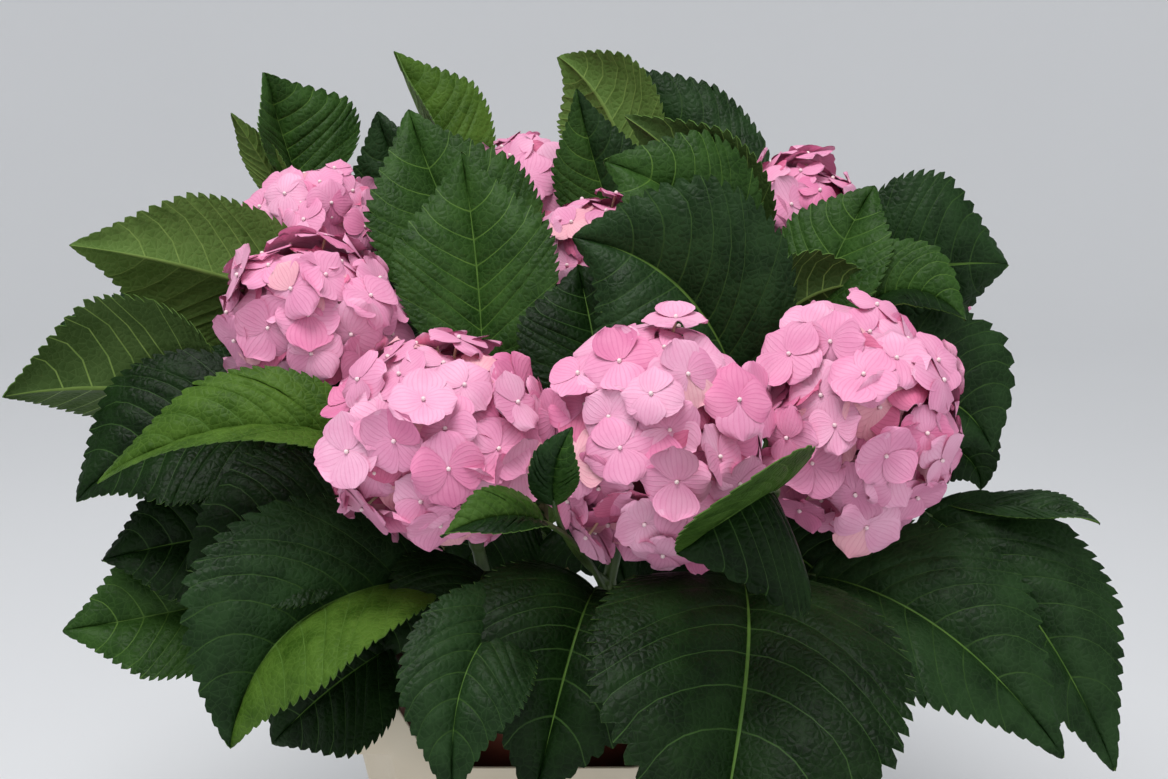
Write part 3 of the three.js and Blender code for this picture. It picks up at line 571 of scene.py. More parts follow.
def tube(soup, points, radii, sides, closed=True):
    """A round limb along points. radii is one number a point, or one for each corner of each ring."""
    points = np.asarray(points, float)
    side, other = crosswise(unit(np.gradient(points, axis=0)))
    turn = around(sides)
    radii = np.asarray(radii, float)
    if radii.ndim == 1:
        radii = radii[:, None]
    rings = (points[:, None]
             + side[:, None] * (np.cos(turn) * radii)[..., None]
             + other[:, None] * (np.sin(turn) * radii)[..., None]).reshape(-1, 3)
    faces = grid_faces(len(points), sides, wrap=True)
    if closed:
        low, high = len(rings), len(rings) + 1
        last = (len(points) - 1) * sides
        ends = []
        for k in range(sides):
            n = (k + 1) % sides
            ends += [[low, n, k, k], [high, last + k, last + n, last + n]]
        faces = np.concatenate([faces, ends])
        rings = np.concatenate([rings, points[[0, -1]]])
    soup.add(rings, faces, 0)


# Leaves

def half_width(share):
    """How wide a blade is at a share of its length, where its fullest is 1."""
    share = np.clip(share, 0, 1)
    body = np.sin(np.pi * share ** BLADE_SHIFT).clip(0) ** BLADE_FULLNESS
    return body * (1 - TIP_NARROWING * np.maximum(0, (share - TIP_START) / (1 - TIP_START)))


def make_leaf(shoot, share, knee, tip, width, face, folds, stalk, left, right=None):
    """A leaf that stands at a share of its shoot's stem."""
    return SimpleNamespace(
        shoot=shoot,
        share=share,
        midrib=(stem_point(shoot, share), np.array(knee, float), np.array(tip, float)),
        width=width,
        face=face,
        folds=np.broadcast_to(folds, 2),
        stalk=stalk,
        colours=(left, right or left))


def pair_leaf(name, level, side, attempt):
    """The leaf that the source's rule tries at one side of a pair."""
    slot = (NAMES.index(name) * LEVEL_SLOTS + level) * 2 + side
    chance = chances(PAIR_SEEDS + slot * TRY_SLOTS + attempt)
    foot, head = SHOOTS[name][:2]
    lean = math.degrees(math.atan2(head[0] - foot[0], foot[1] - head[1]))
    swing = (next(chance) - 0.5) * (SWING + SWING_PER_TRY * attempt)
    heading = lean + FIRST_TURN + PAIR_TURN * level + 180 * side + swing
    length = between(LEAF_LENGTH, next(chance)) * between((1, SHORTEST), attempt / TRIES)
    height = level / (len(PAIR_LEVELS) - 1)
    out = heading_vector(heading, 0)
    up = np.array([0.0, 0.0, 1.0])
    start = stem_point(name, PAIR_LEVELS[level])
    knee_lift = between(KNEE_LIFT, height) + KNEE_CHANCE * (next(chance) - 0.5)
    knee = start + out * length * KNEE_REACH + up * length * knee_lift
    tip_lift = between(TIP_LIFT, height) + TIP_CHANCE * (next(chance) - 0.5)
    tip = start + out * length * TIP_REACH + up * length * tip_lift
    face = unit(up + out * between(FACE_LEAN, next(chance)))
    fold = between(LEAF_FOLD, next(chance))
    stalk = between(LEAF_STALK, next(chance))
    colour = ("dark", "mid", "dark", "fresh")[int(next(chance) * 4)]
    return make_leaf(name, PAIR_LEVELS[level], knee, tip, length * LEAF_WIDTH_SHARE, face,
                     fold, stalk, colour)


def search_tree(points):
    """Points made ready to be searched."""
    tree = KDTree(len(points))
    for i, point in enumerate(points):
        tree.insert(Vector(point), i)
    tree.balance()
    return tree


def pair_leaves(name):
    """The pair leaves that the solid of the shoot has: their tips are corners of it."""
    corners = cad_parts[f"leaves_{name}"].data.vertices
    solid = search_tree([corner.co / MM for corner in corners])
    kept = []
    for level in range(len(PAIR_LEVELS)):
        for side in (0, 1):
            for attempt in range(TRIES):
                leaf = pair_leaf(name, level, side, attempt)
                if solid.find(leaf.midrib[-1])[2] < GAP:
                    kept.append(leaf)
                    break
    return kept


class Blade:
    """The surface of one leaf's blade. Shares run from its base to its tip, and across it from -1
    at the left edge to 1 at the right edge."""

    def __init__(self, leaf, seed):
        self.leaf = leaf
        ends = bend(*leaf.midrib, [leaf.stalk, 1])
        self.length = float(np.linalg.norm(ends[1] - ends[0]))
        chance = chances(seed)
        self.waves = [between(EDGE_WAVES, next(chance)) for _ in range(2)]
        self.phases = [2 * math.pi * next(chance) for _ in range(2)]
        spread = between(PUCKER_SPREAD, next(chance))
        self.depth = PUCKER * spread * min(1, self.length / PUCKER_LENGTH)

    def at(self, along, across, reach=0.0, lean=0.0, swell=0.0):
        """Points of the middle surface and where its upper side faces. reach moves a point outwards,
        lean on towards the tip and swell upwards, all in millimetres."""
        along, across, reach, lean, swell = np.broadcast_arrays(
            *[np.asarray(a, float) for a in (along, across, reach, lean, swell)])
        leaf = self.leaf
        share = leaf.stalk + (1 - leaf.stalk) * along
        point = bend(*leaf.midrib, share)
        way = bend_way(*leaf.midrib, share)
        face = np.broadcast_to(leaf.face, way.shape)
        upper = unit(face - way * (face * way).sum(-1, keepdims=True))
        right = np.cross(way, upper)
        off = np.abs(across)
        half = leaf.width / 2 * half_width(along)
        fold = np.radians(np.where(across < 0, *leaf.folds))
        out = off * half + reach
        arch = HALF_ARCH * half * 4 * off * (1 - off)
        waves = [np.sin(wave * along + phase) for wave, phase in zip(self.waves, self.phases)]
        lift = arch * np.cos(fold) + EDGE_WAVE * np.where(across < 0, *waves) * off ** 3 + swell
        x = np.sign(across) * (out * np.cos(fold) - lift * np.sin(fold) * (off > 0))
        z = out * np.sin(fold) + lift * np.where(off > 0, np.cos(fold), 1)
        return (point + right * x[..., None] + upper * z[..., None] + way * lean[..., None], upper)


def vein_line(start, off):
    """The share of the blade that a side vein has got to, from its start at the midrib outwards."""
    return start + (1 - start) * VEIN_SWEEP * off ** VEIN_CURVE * np.minimum(1, start / SWEEP_START)


def blade_rows(blade, steps, limits):
    """Rows of points that cross a blade along its side veins: where each starts at the midrib, and
    -1 or 1 where it runs along one edge of a vein."""
    teeth = int(np.clip(round(blade.length / TOOTH_SPACING), *limits))
    margin = between(TOOTHED, (np.arange(teeth)[:, None] + steps).ravel() / teeth)
    margin = np.concatenate([[0.0], margin, [TOOTHED[1], *TIP_ROWS]])
    scale = np.linspace(0, 1, SWEEP_STEPS)
    starts = np.interp(margin, vein_line(scale, 1.0), scale)
    clear = np.abs(starts[:, None] - np.array(VEINS)).min(1) > VEIN_CLEAR
    rows = [(start, 0) for start in starts[clear]]
    rows += [(start, side) for start in VEINS for side in (-1, 1)]
    rows.sort()
    start, side = np.array(rows).T
    reached = vein_line(start, 1.0)
    part = (reached - TOOTHED[0]) / (TOOTHED[1] - TOOTHED[0]) * teeth
    inside = (part >= 0) & (part <= teeth)
    rise = np.where(inside, np.interp(part % 1, *TOOTH_SHAPE), 0)
    depth = TOOTH_DEPTH * blade.leaf.width * np.clip(half_width(reached) * TOOTH_FULL, 0, 1)
    return start, side, rise * depth


def blade_sheet(blade, rows, columns):
    """The middle surface of a blade on a grid of rows and columns, its normals and its midrib shares.
    The column next to the edge follows the teeth a little."""
    start, side, reach = [row[:, None] for row in rows]
    off = np.abs(columns)[None]
    width = between(VEIN_WIDTH, off) * min(VEIN_WIDEST, blade.length / VEIN_LENGTH)
    along = np.clip(vein_line(start, off) + side * width / blade.length, 0, 1)
    phase = np.interp(start, (0,) + VEINS + (1,), np.arange(-1, len(VEINS) + 1))
    quilt = np.abs(np.sin(np.pi * phase)) ** PUCKER_ROUND
    swell = blade.depth * quilt * np.clip(off / PUCKER_START, 0, 1) * (1 - PUCKER_FADE * off ** 4)
    near_edge, pull = TOOTH_PULL
    reaches = reach * np.where(off == 1, 1.0, np.where(off > near_edge, pull, 0.0))
    points, upper = blade.at(along, columns[None], reaches, reaches * TOOTH_LEAN, swell)
    normal = np.cross(np.gradient(points, axis=0), np.gradient(points, axis=1))
    size = np.linalg.norm(normal, axis=-1, keepdims=True)
    normal = np.where(size > TINY, normal / np.maximum(size, TINY), upper)
    normal = np.where((normal * upper).sum(-1, keepdims=True) < 0, -normal, normal)
    return points, normal, along


def both_halves(columns):
    return np.array([-c for c in columns[:0:-1]] + list(columns))


def face_kinds(rows, columns, rib, veins, halves):
    """The material of each face of a sheet: its midrib, its side veins and the halves between them."""
    side = rows[1]
    strip = np.repeat((side[:-1] == -1) & (side[1:] == 1), len(columns) - 1)
    middle = (columns[:-1] + columns[1:]) / 2
    is_rib = np.tile(np.abs(middle) < RIB_SHARE, len(side) - 1)
    is_left = np.tile(middle < 0, len(side) - 1)
    plain = np.where(is_left, *halves)
    return np.where(is_rib, rib, np.where(strip, np.where(is_left, *veins), plain))


def add_blade(soup, blade, detail):
    """The blade as a thin closed leaf with its two halves, its veins, its rim and its midrib."""
    steps, teeth, columns = detail
    rows = blade_rows(blade, np.array(steps), teeth)
    columns = both_halves(columns)
    points, normal, _ = blade_sheet(blade, rows, columns)
    top = points + normal * LEAF_THICKNESS / 2
    uppers, unders, veins = zip(*[LEAF_KINDS[colour] for colour in blade.leaf.colours])
    soup.add(top, grid_faces(len(top), len(columns)), face_kinds(rows, columns, MIDRIB, veins, uppers))
    below = both_halves(UNDER_COLUMNS)
    points, normal, along = blade_sheet(blade, rows, below)
    rib = (below == 0) * RIB_DEPTH * (1 - RIB_TAPER * along)
    low = points - normal * (LEAF_THICKNESS / 2 + rib[..., None])
    faces = grid_faces(len(low), len(below))[:, ::-1]
    soup.add(low, faces, face_kinds(rows, below, RIB, (RIB, RIB), unders))
    add_rim(soup, top, low)


def add_rim(soup, top, low):
    """The narrow pale band that closes a blade between its upper and lower side, partly a painted highlight
    along the edge.
    """
    for side in (0, -1):
        band = np.stack([top[:, side], low[:, side]], 1)
        faces = grid_faces(len(band), 2)
        soup.add(band, faces if side else faces[:, ::-1], EDGE)


def add_stalk(soup, leaf):
    """The leaf's stalk, a little wider where it clasps the shoot."""
    share = np.linspace(0, leaf.stalk * STALK_REACH, STALK_RINGS)
    points = bend(*leaf.midrib, share)
    radii = np.interp(share / share[-1], [0, STALK_CLASP, 1],
                      [STALK_FOOT_RADIUS, STALK_RADIUS, STALK_TIP_RADIUS])
    tube(soup, points, radii, STALK_SIDES)


# Stems

def swellings(share, places, size):
    """How far a stem stands out along it, for swellings of one height and length."""
    height, length = size
    return sum(height * np.exp(-((share - place) / length) ** 2) for place in places)


def stem_radius(share, nodes):
    """The radius along a stem, which swells a little where leaves stand."""
    plain = np.interp(share, [0, CANE_END, SHOOT_END, 1],
                      [CANE_RADIUS, SHOOT_RADIUS, SHOOT_TIP_RADIUS, FLOWER_STEM_RADIUS])
    return plain + swellings(share, nodes, NODE_SWELL)


def add_cane(soup, name, seed):
    """The woody lower part of a stem, flared at its foot, with ridges and old leaf scars."""
    share = np.linspace(0, CANE_END, CANE_RINGS)
    turn = around(CANE_SIDES)
    flare = 1 + (CANE_FOOT_RADIUS / CANE_RADIUS - 1) * np.exp(-share / FLARE_REACH)
    radii = (stem_radius(share, []) * flare + swellings(share, SCARS, SCAR_SWELL))[:, None]
    chance = chances(seed)
    for height, number, wind in RIDGES:
        phase = 2 * np.pi * next(chance)
        radii = radii + height * np.sin(number * turn + wind * share[:, None] + phase)
    tube(soup, stem_point(name, share), radii, CANE_SIDES)


def add_shoot(soup, name, nodes):
    """The green shoot, from the cane to the middle of the flower head."""
    share = np.linspace(SHOOT_START, 1, SHOOT_RINGS)
    points = np.concatenate([stem_point(name, share), [SHOOTS[name][1]]])
    radii = np.append(stem_radius(share, nodes), FLOWER_STEM_RADIUS * SHOOT_TIP_SHARE)
    tube(soup, points, radii, SHOOT_SIDES)


# Flower heads

def floret(name, index, count, inner):
    """The place, facing, size and turn of one floret of the outer layer or of the inner one."""
    _, head, radius, tall = SHOOTS[name]
    slot = NAMES.index(name) * HEAD_SLOTS + index + inner * HEAD_SLOTS // 2
    chance = chances(HEAD_SEEDS + slot)
    height = 1 - (2 * index + 1) / count
    turn = index * GOLDEN_ANGLE + (next(chance) - 0.5) * FLORET_SHIFT + inner
    flat = math.sqrt(1 - height * height)
    out = np.array([flat * math.cos(turn), flat * math.sin(turn), height])
    size = between(FLORET_RADIUS, next(chance)) * min(1, radius / FULL_SIZE_HEAD)
    layer = INNER_DEPTH if inner else 1 - LAYER_STEP * (index % LAYERS)
    depth = layer - FLORET_SINK * next(chance)
    spread = 2 * math.tan(math.radians(FLORET_TILT))
    tilt = np.array([next(chance) - 0.5 for _ in range(3)]) * spread
    return SimpleNamespace(
        out=out,
        reach=out * np.array([radius, radius, radius * tall]) * depth,
        head=np.array(head, float),
        way=unit(out + tilt + LIGHT_LEAN),
        size=size,
        bow=size / (2 * radius),
        cup=between(FLORET_CUP, next(chance)) - TOP_BOW * max(0, height),
        spin=2 * math.pi * next(chance),
        seed=int(next(chance) * FLORET_SEEDS),
        inner=inner)


def floret_rim(flower):
    """Points round a floret's rim, and its middle."""
    side, other = crosswise(flower.way)
    middle = flower.head + flower.reach
    turn = flower.spin + around(RIM_POINTS)
    rim = middle + flower.size * (side * np.cos(turn)[:, None] + other * np.sin(turn)[:, None])
    return np.concatenate([rim, middle[None]])


def florets(name, leaf_tree):
    """The florets of a head. One that would touch a leaf is drawn in, and left out if it still does."""
    radius = SHOOTS[name][2]
    *_, axis = stem_of(name)
    kept = []
    for inner, full in ((False, FLORETS), (True, INNER_FLORETS)):
        count = round(full * (radius / FLORETS_RADIUS) ** FLORETS_POWER)
        for index in range(count):
            flower = floret(name, index, count, inner)
            if flower.out @ axis < UNDERSIDE:
                continue
            for _ in range(FLORET_PUSHES):
                near = min(leaf_tree.find(Vector(p))[2] for p in floret_rim(flower))
                if near > FLORET_CLEAR:
                    kept.append(flower)
                    break
                flower.reach = flower.reach * (1 - FLORET_PUSH)
    return kept


def petal_half(t):
    """How wide a petal is along its length, where 1 is its fullest."""
    return np.sin(np.pi * np.clip(t, 0, 1) ** PETAL_SHIFT).clip(0) ** PETAL_FULLNESS


def petal_sheet(form, grid):
    """A grid of points of one petal, cupped or bowed, with a wavy edge."""
    t = np.array(grid[0])[:, None]
    s = np.array(grid[1])[None]
    size = form.size
    edge = 1 + PETAL_EDGE_WAVE * np.sin(form.wave * 2 * t + form.phase) * s
    half = PETAL_WIDTH * size * petal_half(t) * edge
    wave = form.wave * s + form.phase
    blunt_from, blunt_by = PETAL_BLUNT
    nick_from, nick_by = PETAL_NICK
    blunt = 1 - blunt_by * s ** 2 * (t > blunt_from) - nick_by * np.cos(wave) * (t > nick_from)
    ripple = PETAL_RIPPLE * size * np.sin(wave) * t ** 2
    height = size * (form.cup * t ** 2 + form.curl * s ** 2 * t) + form.lift * t ** 0.5 + ripple
    return (form.middle + form.along * (t * blunt)[..., None] * size
            + form.across * (s * half)[..., None] + form.way * height[..., None])


def petal_marks(form, grid):
    """The place of each point across and along its petal, which the streaks of the finish follow."""
    s, t = np.meshgrid(grid[1], grid[0])
    return np.stack([s + STREAK_STEP * form.phase, t], -1)


def add_petal(soup, flower, middle, side, other, turn, chance, lift):
    """One broad petal with a deeper foot and a paler back."""
    form = SimpleNamespace(
        middle=middle,
        way=flower.way,
        along=side * math.cos(turn) + other * math.sin(turn),
        across=-side * math.sin(turn) + other * math.cos(turn),
        size=flower.size * between(PETAL_SIZE, next(chance)),
        cup=between(PETAL_CUP, next(chance)) + flower.cup - PETAL_BOW * flower.bow,
        curl=between(PETAL_CURL, next(chance)),
        wave=between(PETAL_WAVES, next(chance)),
        phase=2 * math.pi * next(chance),
        lift=lift)
    # Inner florets take deeper tones: painted shade inside the head.
    tones = INNER_SHADE_TONES if flower.inner else flower.tones
    tone = tones[int(next(chance) * len(tones))]
    foot = np.repeat(np.array(PETAL_GRID[0][1:]) < PETAL_FOOT, len(PETAL_GRID[1]) - 1)
    faces = grid_faces(*map(len, PETAL_GRID))
    soup.add(petal_sheet(form, PETAL_GRID), faces, np.where(foot, HEART, tone), petal_marks(form, PETAL_GRID))
    back = petal_sheet(form, BACK_GRID) - flower.way * PETAL_THICKNESS
    faces = grid_faces(*map(len, BACK_GRID))[:, ::-1]
    soup.add(back, faces, PETAL_BACK, petal_marks(form, BACK_GRID))


def add_floret(soup, beads, stalks, flower):
    """A floret of four petals in two crossed pairs, its bead and its stalk."""
    way = flower.way
    side, other = crosswise(way)
    middle = flower.head + flower.reach - way * FLORET_SEAT
    chance = chances(flower.seed)
    flower.tones = PETAL_TONES[int(next(chance) * len(PETAL_TONES))]
    for k in range(4):
        turn = flower.spin + k * math.pi / 2 + (next(chance) - 0.5) * PETAL_TURN
        add_petal(soup, flower, middle, side, other, turn, chance, PAIR_LIFT * (k % 2))
    add_bead(beads, middle + way, way, side, other)
    root = flower.head + flower.reach * FLORET_STALK_START
    line = [root, (root + middle) / 2 + side, middle - way * FLORET_STALK_GAP]
    tube(stalks, line, FLORET_STALK_RADII, FLORET_STALK_SIDES, closed=False)


def add_bead(soup, middle, way, side, other):
    """A small round bud."""
    lift = np.array(BEAD_RINGS)[:, None]
    turn = around(BEAD_SIDES)[None]
    ring = np.sqrt(1 - lift ** 2)
    points = side * (ring * np.cos(turn))[..., None] + other * (ring * np.sin(turn))[..., None]
    points = (points + way * (lift + 0 * turn)[..., None]).reshape(-1, 3)
    points = middle + BEAD_RADIUS * np.concatenate([points, [way]])
    top = len(points) - 1
    last = top - BEAD_SIDES
    cap = [[last + k, last + (k + 1) % BEAD_SIDES, top, top] for k in range(BEAD_SIDES)]
    soup.add(points, np.concatenate([grid_faces(len(BEAD_RINGS), BEAD_SIDES, wrap=True), cap]), 0)


def add_shade_ball(soup, name):
    """A knobbly dark ball well inside the florets of a head: painted shade in the hollow of the head."""
    _, head, radius, tall = SHOOTS[name]
    pole = np.pi / 2 - SHADE_BALL_POLE
    up = np.linspace(-pole, pole, SHADE_BALL_RINGS)[:, None]
    turn = around(SHADE_BALL_SIDES)[None]
    knob = 1 + SHADE_BALL_KNOBS * np.sin(5 * turn + 3 * up) * np.cos(6 * up + 2 * turn)
    reach = radius * SHADE_BALL_SHARE * knob
    points = np.stack([reach * np.cos(up) * np.cos(turn),
                       reach * np.cos(up) * np.sin(turn),
                       reach * tall * np.sin(up) + 0 * turn], -1) + head
    soup.add(points, grid_faces(SHADE_BALL_RINGS, SHADE_BALL_SIDES, wrap=True), 0)


# Materials

def srgb(red, green, blue):
    """A colour from its 0 to 255 values."""
    def linear(value):
        value /= 255
        return value / 12.92 if value <= 0.04045 else ((value + 0.055) / 1.055) ** 2.4
    return (linear(red), linear(green), linear(blue), 1.0)


def add_node(made, kind, **sockets):
    """A new node of a finish. Each socket that is named gets a value, or what another node puts out."""
    node = made.node_tree.nodes.new(kind)
    for name, value in sockets.items():
        socket = node.inputs[name.replace("_", " ")]
        if isinstance(value, bpy.types.NodeSocket):
            made.node_tree.links.new(value, socket)
        else:
            socket.default_value = value
    return node


def feed(made, **outputs):
    """Joins outputs to the sockets of the shader that they are named after."""
    shader = made.node_tree.nodes["Principled BSDF"]
    for name, output in outputs.items():
        made.node_tree.links.new(output, shader.inputs[name.replace("_", " ")])


def fed(made, name):
    """The output that a socket of the shader gets."""
    return made.node_tree.nodes["Principled BSDF"].inputs[name].links[0].from_socket


def material(name, dark, light, roughness, scale, grain=0.0, grain_scale=400.0, shine=0.5):
    """A finish whose colour drifts between two tones and whose surface has a fine grain."""
    made = bpy.data.materials.new(name)
    made.use_nodes = True
    made.node_tree.nodes["Principled BSDF"].inputs["Specular IOR Level"].default_value = shine
    place = add_node(made, "ShaderNodeTexCoord").outputs["Object"]
    noise = add_node(made, "ShaderNodeTexNoise", Vector=place, Scale=scale, Detail=DRIFT_DETAIL)
    drift = noise.outputs["Fac"]
    ramp = add_node(made, "ShaderNodeValToRGB", Fac=drift)
    for stop, position, colour in zip(ramp.color_ramp.elements, DRIFT_STOPS, (dark, light)):
        stop.position = position
        stop.color = srgb(*colour)
    low, high = ROUGHNESS_SPREAD
    rough = add_node(made, "ShaderNodeMapRange", Value=drift,
                     To_Min=roughness + low, To_Max=roughness + high)
    feed(made, Base_Color=ramp.outputs["Color"], Roughness=rough.outputs["Result"])
    if grain:
        noise = add_node(made, "ShaderNodeTexNoise", Vector=place, Scale=grain_scale, Detail=GRAIN_DETAIL)
        relief = add_node(made, "ShaderNodeBump", Height=noise.outputs["Fac"],
                          Strength=grain, Distance=GRAIN_DEPTH)
        feed(made, Normal=relief.outputs["Normal"])
    return made


def draw_over(made, colour, share, height, relief, sunk=False):
    """Draws a colour over a finish by a share of 0 to 1, and lets its surface follow a height. relief
    is the strength and the depth of that, and sunk turns it downwards."""
    mix = add_node(made, "ShaderNodeMix")
    mix.data_type = "RGBA"
    mix_share, mix_under, mix_over = mix.inputs[0], mix.inputs[6], mix.inputs[7]
    mix_over.default_value = srgb(*colour)
    made.node_tree.links.new(share, mix_share)
    made.node_tree.links.new(fed(made, "Base Color"), mix_under)
    strength, depth = relief
    bump = add_node(made, "ShaderNodeBump", Height=height, Normal=fed(made, "Normal"),
                    Strength=strength, Distance=depth)
    bump.invert = sunk
    feed(made, Base_Color=mix.outputs[2], Normal=bump.outputs["Normal"])


def leaf_finish(name, dark, light, net, roughness):
    """A leaf finish with a fine net of veins: paler lines, with the leaf standing up between them."""
    made = material(name, dark, light, roughness, LEAF_DRIFT, *LEAF_GRAIN, LEAF_SHINE)
    place = add_node(made, "ShaderNodeTexCoord").outputs["Object"]
    cells = add_node(made, "ShaderNodeTexVoronoi", Vector=place, Scale=NET_SCALE)
    cells.feature = "DISTANCE_TO_EDGE"
    off = cells.outputs["Distance"]
    line = add_node(made, "ShaderNodeMapRange", Value=off,
                    From_Max=NET_LINE, To_Min=NET_STRENGTH, To_Max=0.0)
    draw_over(made, net, line.outputs["Result"], off, NET_RELIEF)
    return made


def petal_finish(name, dark, light, streak):
    """A petal finish with fine veins from its foot to its edge: deeper lines in shallow grooves."""
    made = material(name, dark, light, PETAL_ROUGHNESS, PETAL_DRIFT, *PETAL_GRAIN, PETAL_SHINE)
    place = add_node(made, "ShaderNodeUVMap")
    place.uv_map = MARKS
    lines = add_node(made, "ShaderNodeTexWave", Vector=place.outputs["UV"], **STREAK_WAVE)
    share = add_node(made, "ShaderNodeMapRange", Value=lines.outputs["Fac"],
                     From_Min=STREAK_FROM, To_Max=STREAK_STRENGTH).outputs["Result"]
    draw_over(made, streak, share, share, STREAK_RELIEF, sunk=True)
    return made


def plain_finish(name):
    return material(name, *FINISHES[name])


# Growing the plant

GROUPS = {
    "left": ("west", "north_west", "front_left"),
    "front": ("front", "front_right", "middle"),
    "right": ("east", "far_east", "north"),
    "back": ("back_right", "back_left"),
}

leaves = [make_leaf(*row[:5], heading_vector(*row[5]), *row[6:]) for row in SHOWN_LEAVES]
for shoot_name in NAMES:
    leaves += pair_leaves(shoot_name)
blades = [Blade(leaf, BLADE_SEEDS + number) for number, leaf in enumerate(leaves)]

LEAF_FINISH = [leaf_finish(name, *look) for name, look in LEAF_FINISHES.items()]
LEAF_FINISH += [material(name, *look, VEIN_DRIFT, shine=VEIN_SHINE)
                for name, look in VEIN_FINISHES.items()]
PETAL_FINISH = [petal_finish(name, *look) for name, look in PETAL_FINISHES.items()]
GREEN_FINISH = [plain_finish("green_stem")]
BARK_FINISH = [plain_finish("cane_bark")]
BEAD_FINISH = [plain_finish("floret_bead")]
SHADE_BALL_FINISH = [plain_finish("head_painted_shade")]
STALK_FINISH = [plain_finish("floret_stalk")]


def leaf_search():
    """All blades sampled as points, to keep the florets clear of them."""
    along, across = np.meshgrid(np.linspace(*SEARCH_ALONG), np.linspace(*SEARCH_ACROSS))
    return search_tree(np.concatenate([blade.at(along, across)[0].reshape(-1, 3) for blade in blades]))


def grow_foliage(group, members):
    """The leaves of a group of shoots. Those that face the viewer come first and have fine blades."""
    foliage = Soup()
    for number, blade in enumerate(blades):
        if blade.leaf.shoot in members:
            add_blade(foliage, blade, FINE_BLADE if number < len(SHOWN_LEAVES) else PLAIN_BLADE)
    piece = foliage.piece(f"foliage_{group}", LEAF_FINISH)
    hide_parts(*[f"leaves_{name}" for name in members])


def grow_heads(group, members, search):
    """The flower heads of a group of shoots."""
    blossom = Soup()
    beads = Soup()
    floret_stalks = Soup()
    shade_balls = Soup()
    for name in members:
        # A dark ball of painted shade inside each head.
        add_shade_ball(shade_balls, name)
        for flower in florets(name, search):
            add_floret(blossom, beads, floret_stalks, flower)
    piece = blossom.piece(f"blossom_{group}", PETAL_FINISH)
    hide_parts(*[f"flower_head_{name}" for name in members])
    for soup, name, finish in ((beads, "floret_beads", BEAD_FINISH),
                               (floret_stalks, "floret_stalks", STALK_FINISH),
                               (shade_balls, "head_shade_balls", SHADE_BALL_FINISH)):
        soup.piece(f"{name}_{group}", finish)


def grow_stems():
    """The canes, the shoots and the leaf stalks."""
    canes = Soup()
    shoots = Soup()
    stalks = Soup()
    for number, name in enumerate(NAMES):
        add_cane(canes, name, CANE_SEEDS + number)
        add_shoot(shoots, name, sorted({leaf.share for leaf in leaves if leaf.shoot == name}))
    for leaf in leaves:
        add_stalk(stalks, leaf)
    piece = canes.piece("canes", BARK_FINISH)
    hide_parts(*[f"cane_{name}" for name in NAMES])
    shoots.piece("shoots", GREEN_FINISH)
    stalks.piece("leaf_stalks", GREEN_FINISH)


# Pot, planter and soil

def nursery_pot():
    """The round pot with its rolled rim, and its own wall inside and out."""
    floor = PLANTER_FLOOR + GAP
    neck = POT_TOP - POT_RIM_DEPTH
    inner_top = POT_TOP_RADIUS - POT_WALL
    profile = [
        (POT_HUB, floor),
        (POT_FOOT_RADIUS - POT_FOOT_ROUND, floor),
        (POT_FOOT_RADIUS, floor + POT_FOOT_ROUND),
        (POT_NECK_RADIUS - POT_NECK_ROUND, neck - 2 * POT_NECK_ROUND),
        (POT_NECK_RADIUS + POT_NECK_ROUND, neck),
        (POT_RIM_RADIUS - POT_RIM_ROUND, neck),
        (POT_RIM_RADIUS, neck + POT_RIM_ROUND),
        (POT_RIM_RADIUS, POT_TOP - 2 * POT_RIM_ROUND),
        (POT_RIM_RADIUS - POT_LIP_ROUND / 2, POT_TOP - POT_RIM_ROUND / 2),
        (POT_RIM_RADIUS - POT_LIP_ROUND * 1.5, POT_TOP),
        (inner_top + POT_LIP_ROUND, POT_TOP),
        (inner_top, POT_TOP - 1),
        (POT_FOOT_RADIUS - POT_WALL, floor + POT_WALL),
        (POT_HUB, floor + POT_WALL),
    ]
    soup = Soup()
    soup.add(revolved(profile, POT_SIDES), grid_faces(len(profile), POT_SIDES, wrap=True), 0)
    pot = soup.piece("round_pot", [plain_finish("red_brown_plastic")])
    pot.data.set_sharp_from_angle(angle=math.radians(POT_SHARP))
    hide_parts("nursery_pot")


def planter():
    """The square planter with its edges rounded as moulded plastic is."""
    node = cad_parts["planter"]
    mesh = node.data.copy()
    shell = placed("square_planter", mesh)
    work = bmesh.new()
    work.from_mesh(mesh)
    bmesh.ops.remove_doubles(work, verts=work.verts, dist=WELD * MM)
    bmesh.ops.dissolve_limit(work, angle_limit=math.radians(FLAT_ANGLE), verts=work.verts, edges=work.edges)
    work.to_mesh(mesh)
    work.free()
    bevel = shell.modifiers.new("rounded", "BEVEL")
    bevel.width = PLANTER_ROUND * MM
    bevel.segments = PLANTER_SEGMENTS
    bevel.limit_method = "ANGLE"
    bevel.angle_limit = math.radians(PLANTER_ANGLE)
    bevel.harden_normals = True
    mesh.materials.clear()
    mesh.materials.append(plain_finish("cream_plastic"))
    mesh.polygons.foreach_set("use_smooth", np.full(len(mesh.polygons), True))
    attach(shell, "root")
    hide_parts("planter")


CRUMB_CORNERS = np.array([[1, 0, 0], [-1, 0, 0], [0, 1, 0], [0, -1, 0], [0, 0, 1], [0, 0, -1]], float)
CRUMB_FACES = [(0, 2, 4, 4), (2, 1, 4, 4), (1, 3, 4, 4), (3, 0, 4, 4),
               (2, 0, 5, 5), (1, 2, 5, 5), (3, 1, 5, 5), (0, 3, 5, 5)]


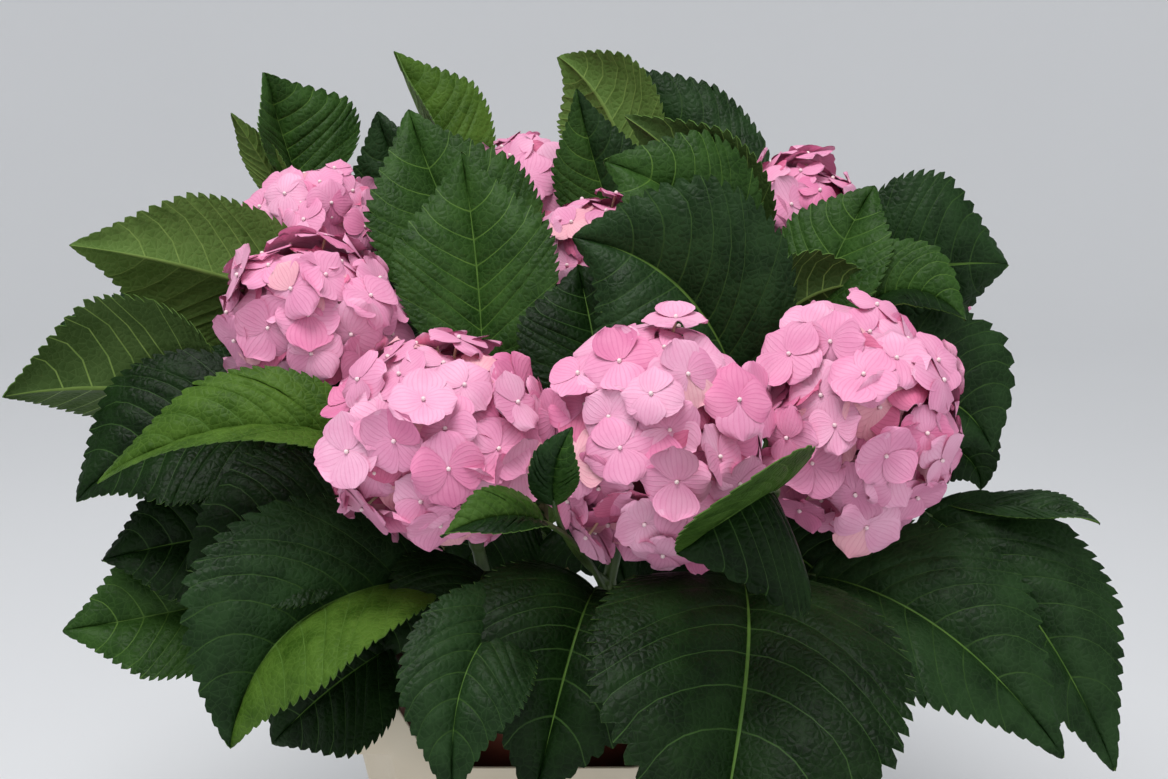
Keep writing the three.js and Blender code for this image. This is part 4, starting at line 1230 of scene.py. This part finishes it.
def soil():
    """The soil keeps its solid and gets crumbs and dry bits on top, lower down at its edge."""
    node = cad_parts["soil"]
    node.data.materials.clear()
    node.data.materials.append(plain_finish("peat"))
    chance = chances(CRUMB_SEED)
    crumbs = Soup()
    for _ in range(CRUMBS):
        turn, off = 2 * math.pi * next(chance), math.sqrt(next(chance))
        size = between(CRUMB_SIZE, next(chance) ** 2)
        sunk = SOIL_EDGE_DROP * max(0, off - SOIL_EDGE) / (1 - SOIL_EDGE)
        middle = np.array([math.cos(turn) * off * SOIL_RADIUS, math.sin(turn) * off * SOIL_RADIUS,
                           SOIL_TOP - sunk + size * CRUMB_SEAT])
        squash = [between(CRUMB_SQUASH, next(chance)) for _ in CRUMB_CORNERS]
        points = middle + CRUMB_CORNERS * size * np.array(squash)[:, None]
        crumbs.add(points, CRUMB_FACES, int(next(chance) * 2))
    finish = [plain_finish("peat_crumbs"), plain_finish("bark_crumbs")]
    crumbs.piece("soil_crumbs", finish, smooth=False)


# Stage

def studio():
    """A pale floor that sweeps up into a round pale wall, far behind the plant on every side."""
    profile = [(radius, 0) for radius in STAGE_FLOOR]
    for step in range(1, STAGE_SWEEP_STEPS + 1):
        turn = step * math.pi / 2 / STAGE_SWEEP_STEPS
        profile.append((STAGE_FLOOR[-1] + STAGE_SWEEP * math.sin(turn),
                        STAGE_SWEEP * (1 - math.cos(turn))))
    profile.append((STAGE_FLOOR[-1] + STAGE_SWEEP, STAGE_TOP))
    mesh = bpy.data.meshes.new("studio_sweep")
    faces = grid_faces(len(profile), STAGE_SIDES, wrap=True)[:, ::-1]
    mesh.from_pydata(revolved(profile, STAGE_SIDES).tolist(), [], faces.tolist())
    mesh.polygons.foreach_set("use_smooth", np.full(len(mesh.polygons), True))
    grey = plain_finish("studio_grey")
    shader = grey.node_tree.nodes["Principled BSDF"]
    shader.inputs["Emission Color"].default_value = srgb(*STAGE_GLOW_COLOUR)
    shader.inputs["Emission Strength"].default_value = STAGE_GLOW
    mesh.materials.append(grey)
    sweep = placed("studio_sweep", mesh)
    sweep.visible_shadow = False


def aimed(name, data, place, target):
    """A light or the camera at its place, turned towards its target."""
    holder = placed(name, data)
    holder.location = place
    holder.rotation_euler = (Vector(target) - Vector(place)).to_track_quat("-Z", "Y").to_euler()
    return holder


def lights():
    """Light from all sides and the two soft boxes."""
    world = bpy.data.worlds.new("studio_light")
    world.use_nodes = True
    background = world.node_tree.nodes["Background"]
    background.inputs["Color"].default_value = srgb(*WORLD_COLOUR)
    background.inputs["Strength"].default_value = WORLD_STRENGTH
    bpy.context.scene.world = world
    for name, (place, size, power) in SOFT_BOXES.items():
        light = bpy.data.lights.new(name, "AREA")
        light.size = size
        light.energy = power
        aimed(name, light, place, LIGHT_TARGET)


def camera():
    data = bpy.data.cameras.new("camera")
    data.lens = CAMERA_LENS
    bpy.context.scene.camera = aimed("camera", data, CAMERA_PLACE, CAMERA_TARGET)


clear_of = leaf_search()
for group, members in GROUPS.items():
    grow_foliage(group, members)
    grow_heads(group, members, clear_of)
grow_stems()
nursery_pot()
planter()
soil()
studio()
lights()
camera()
bpy.context.scene.view_settings.view_transform = "Standard"
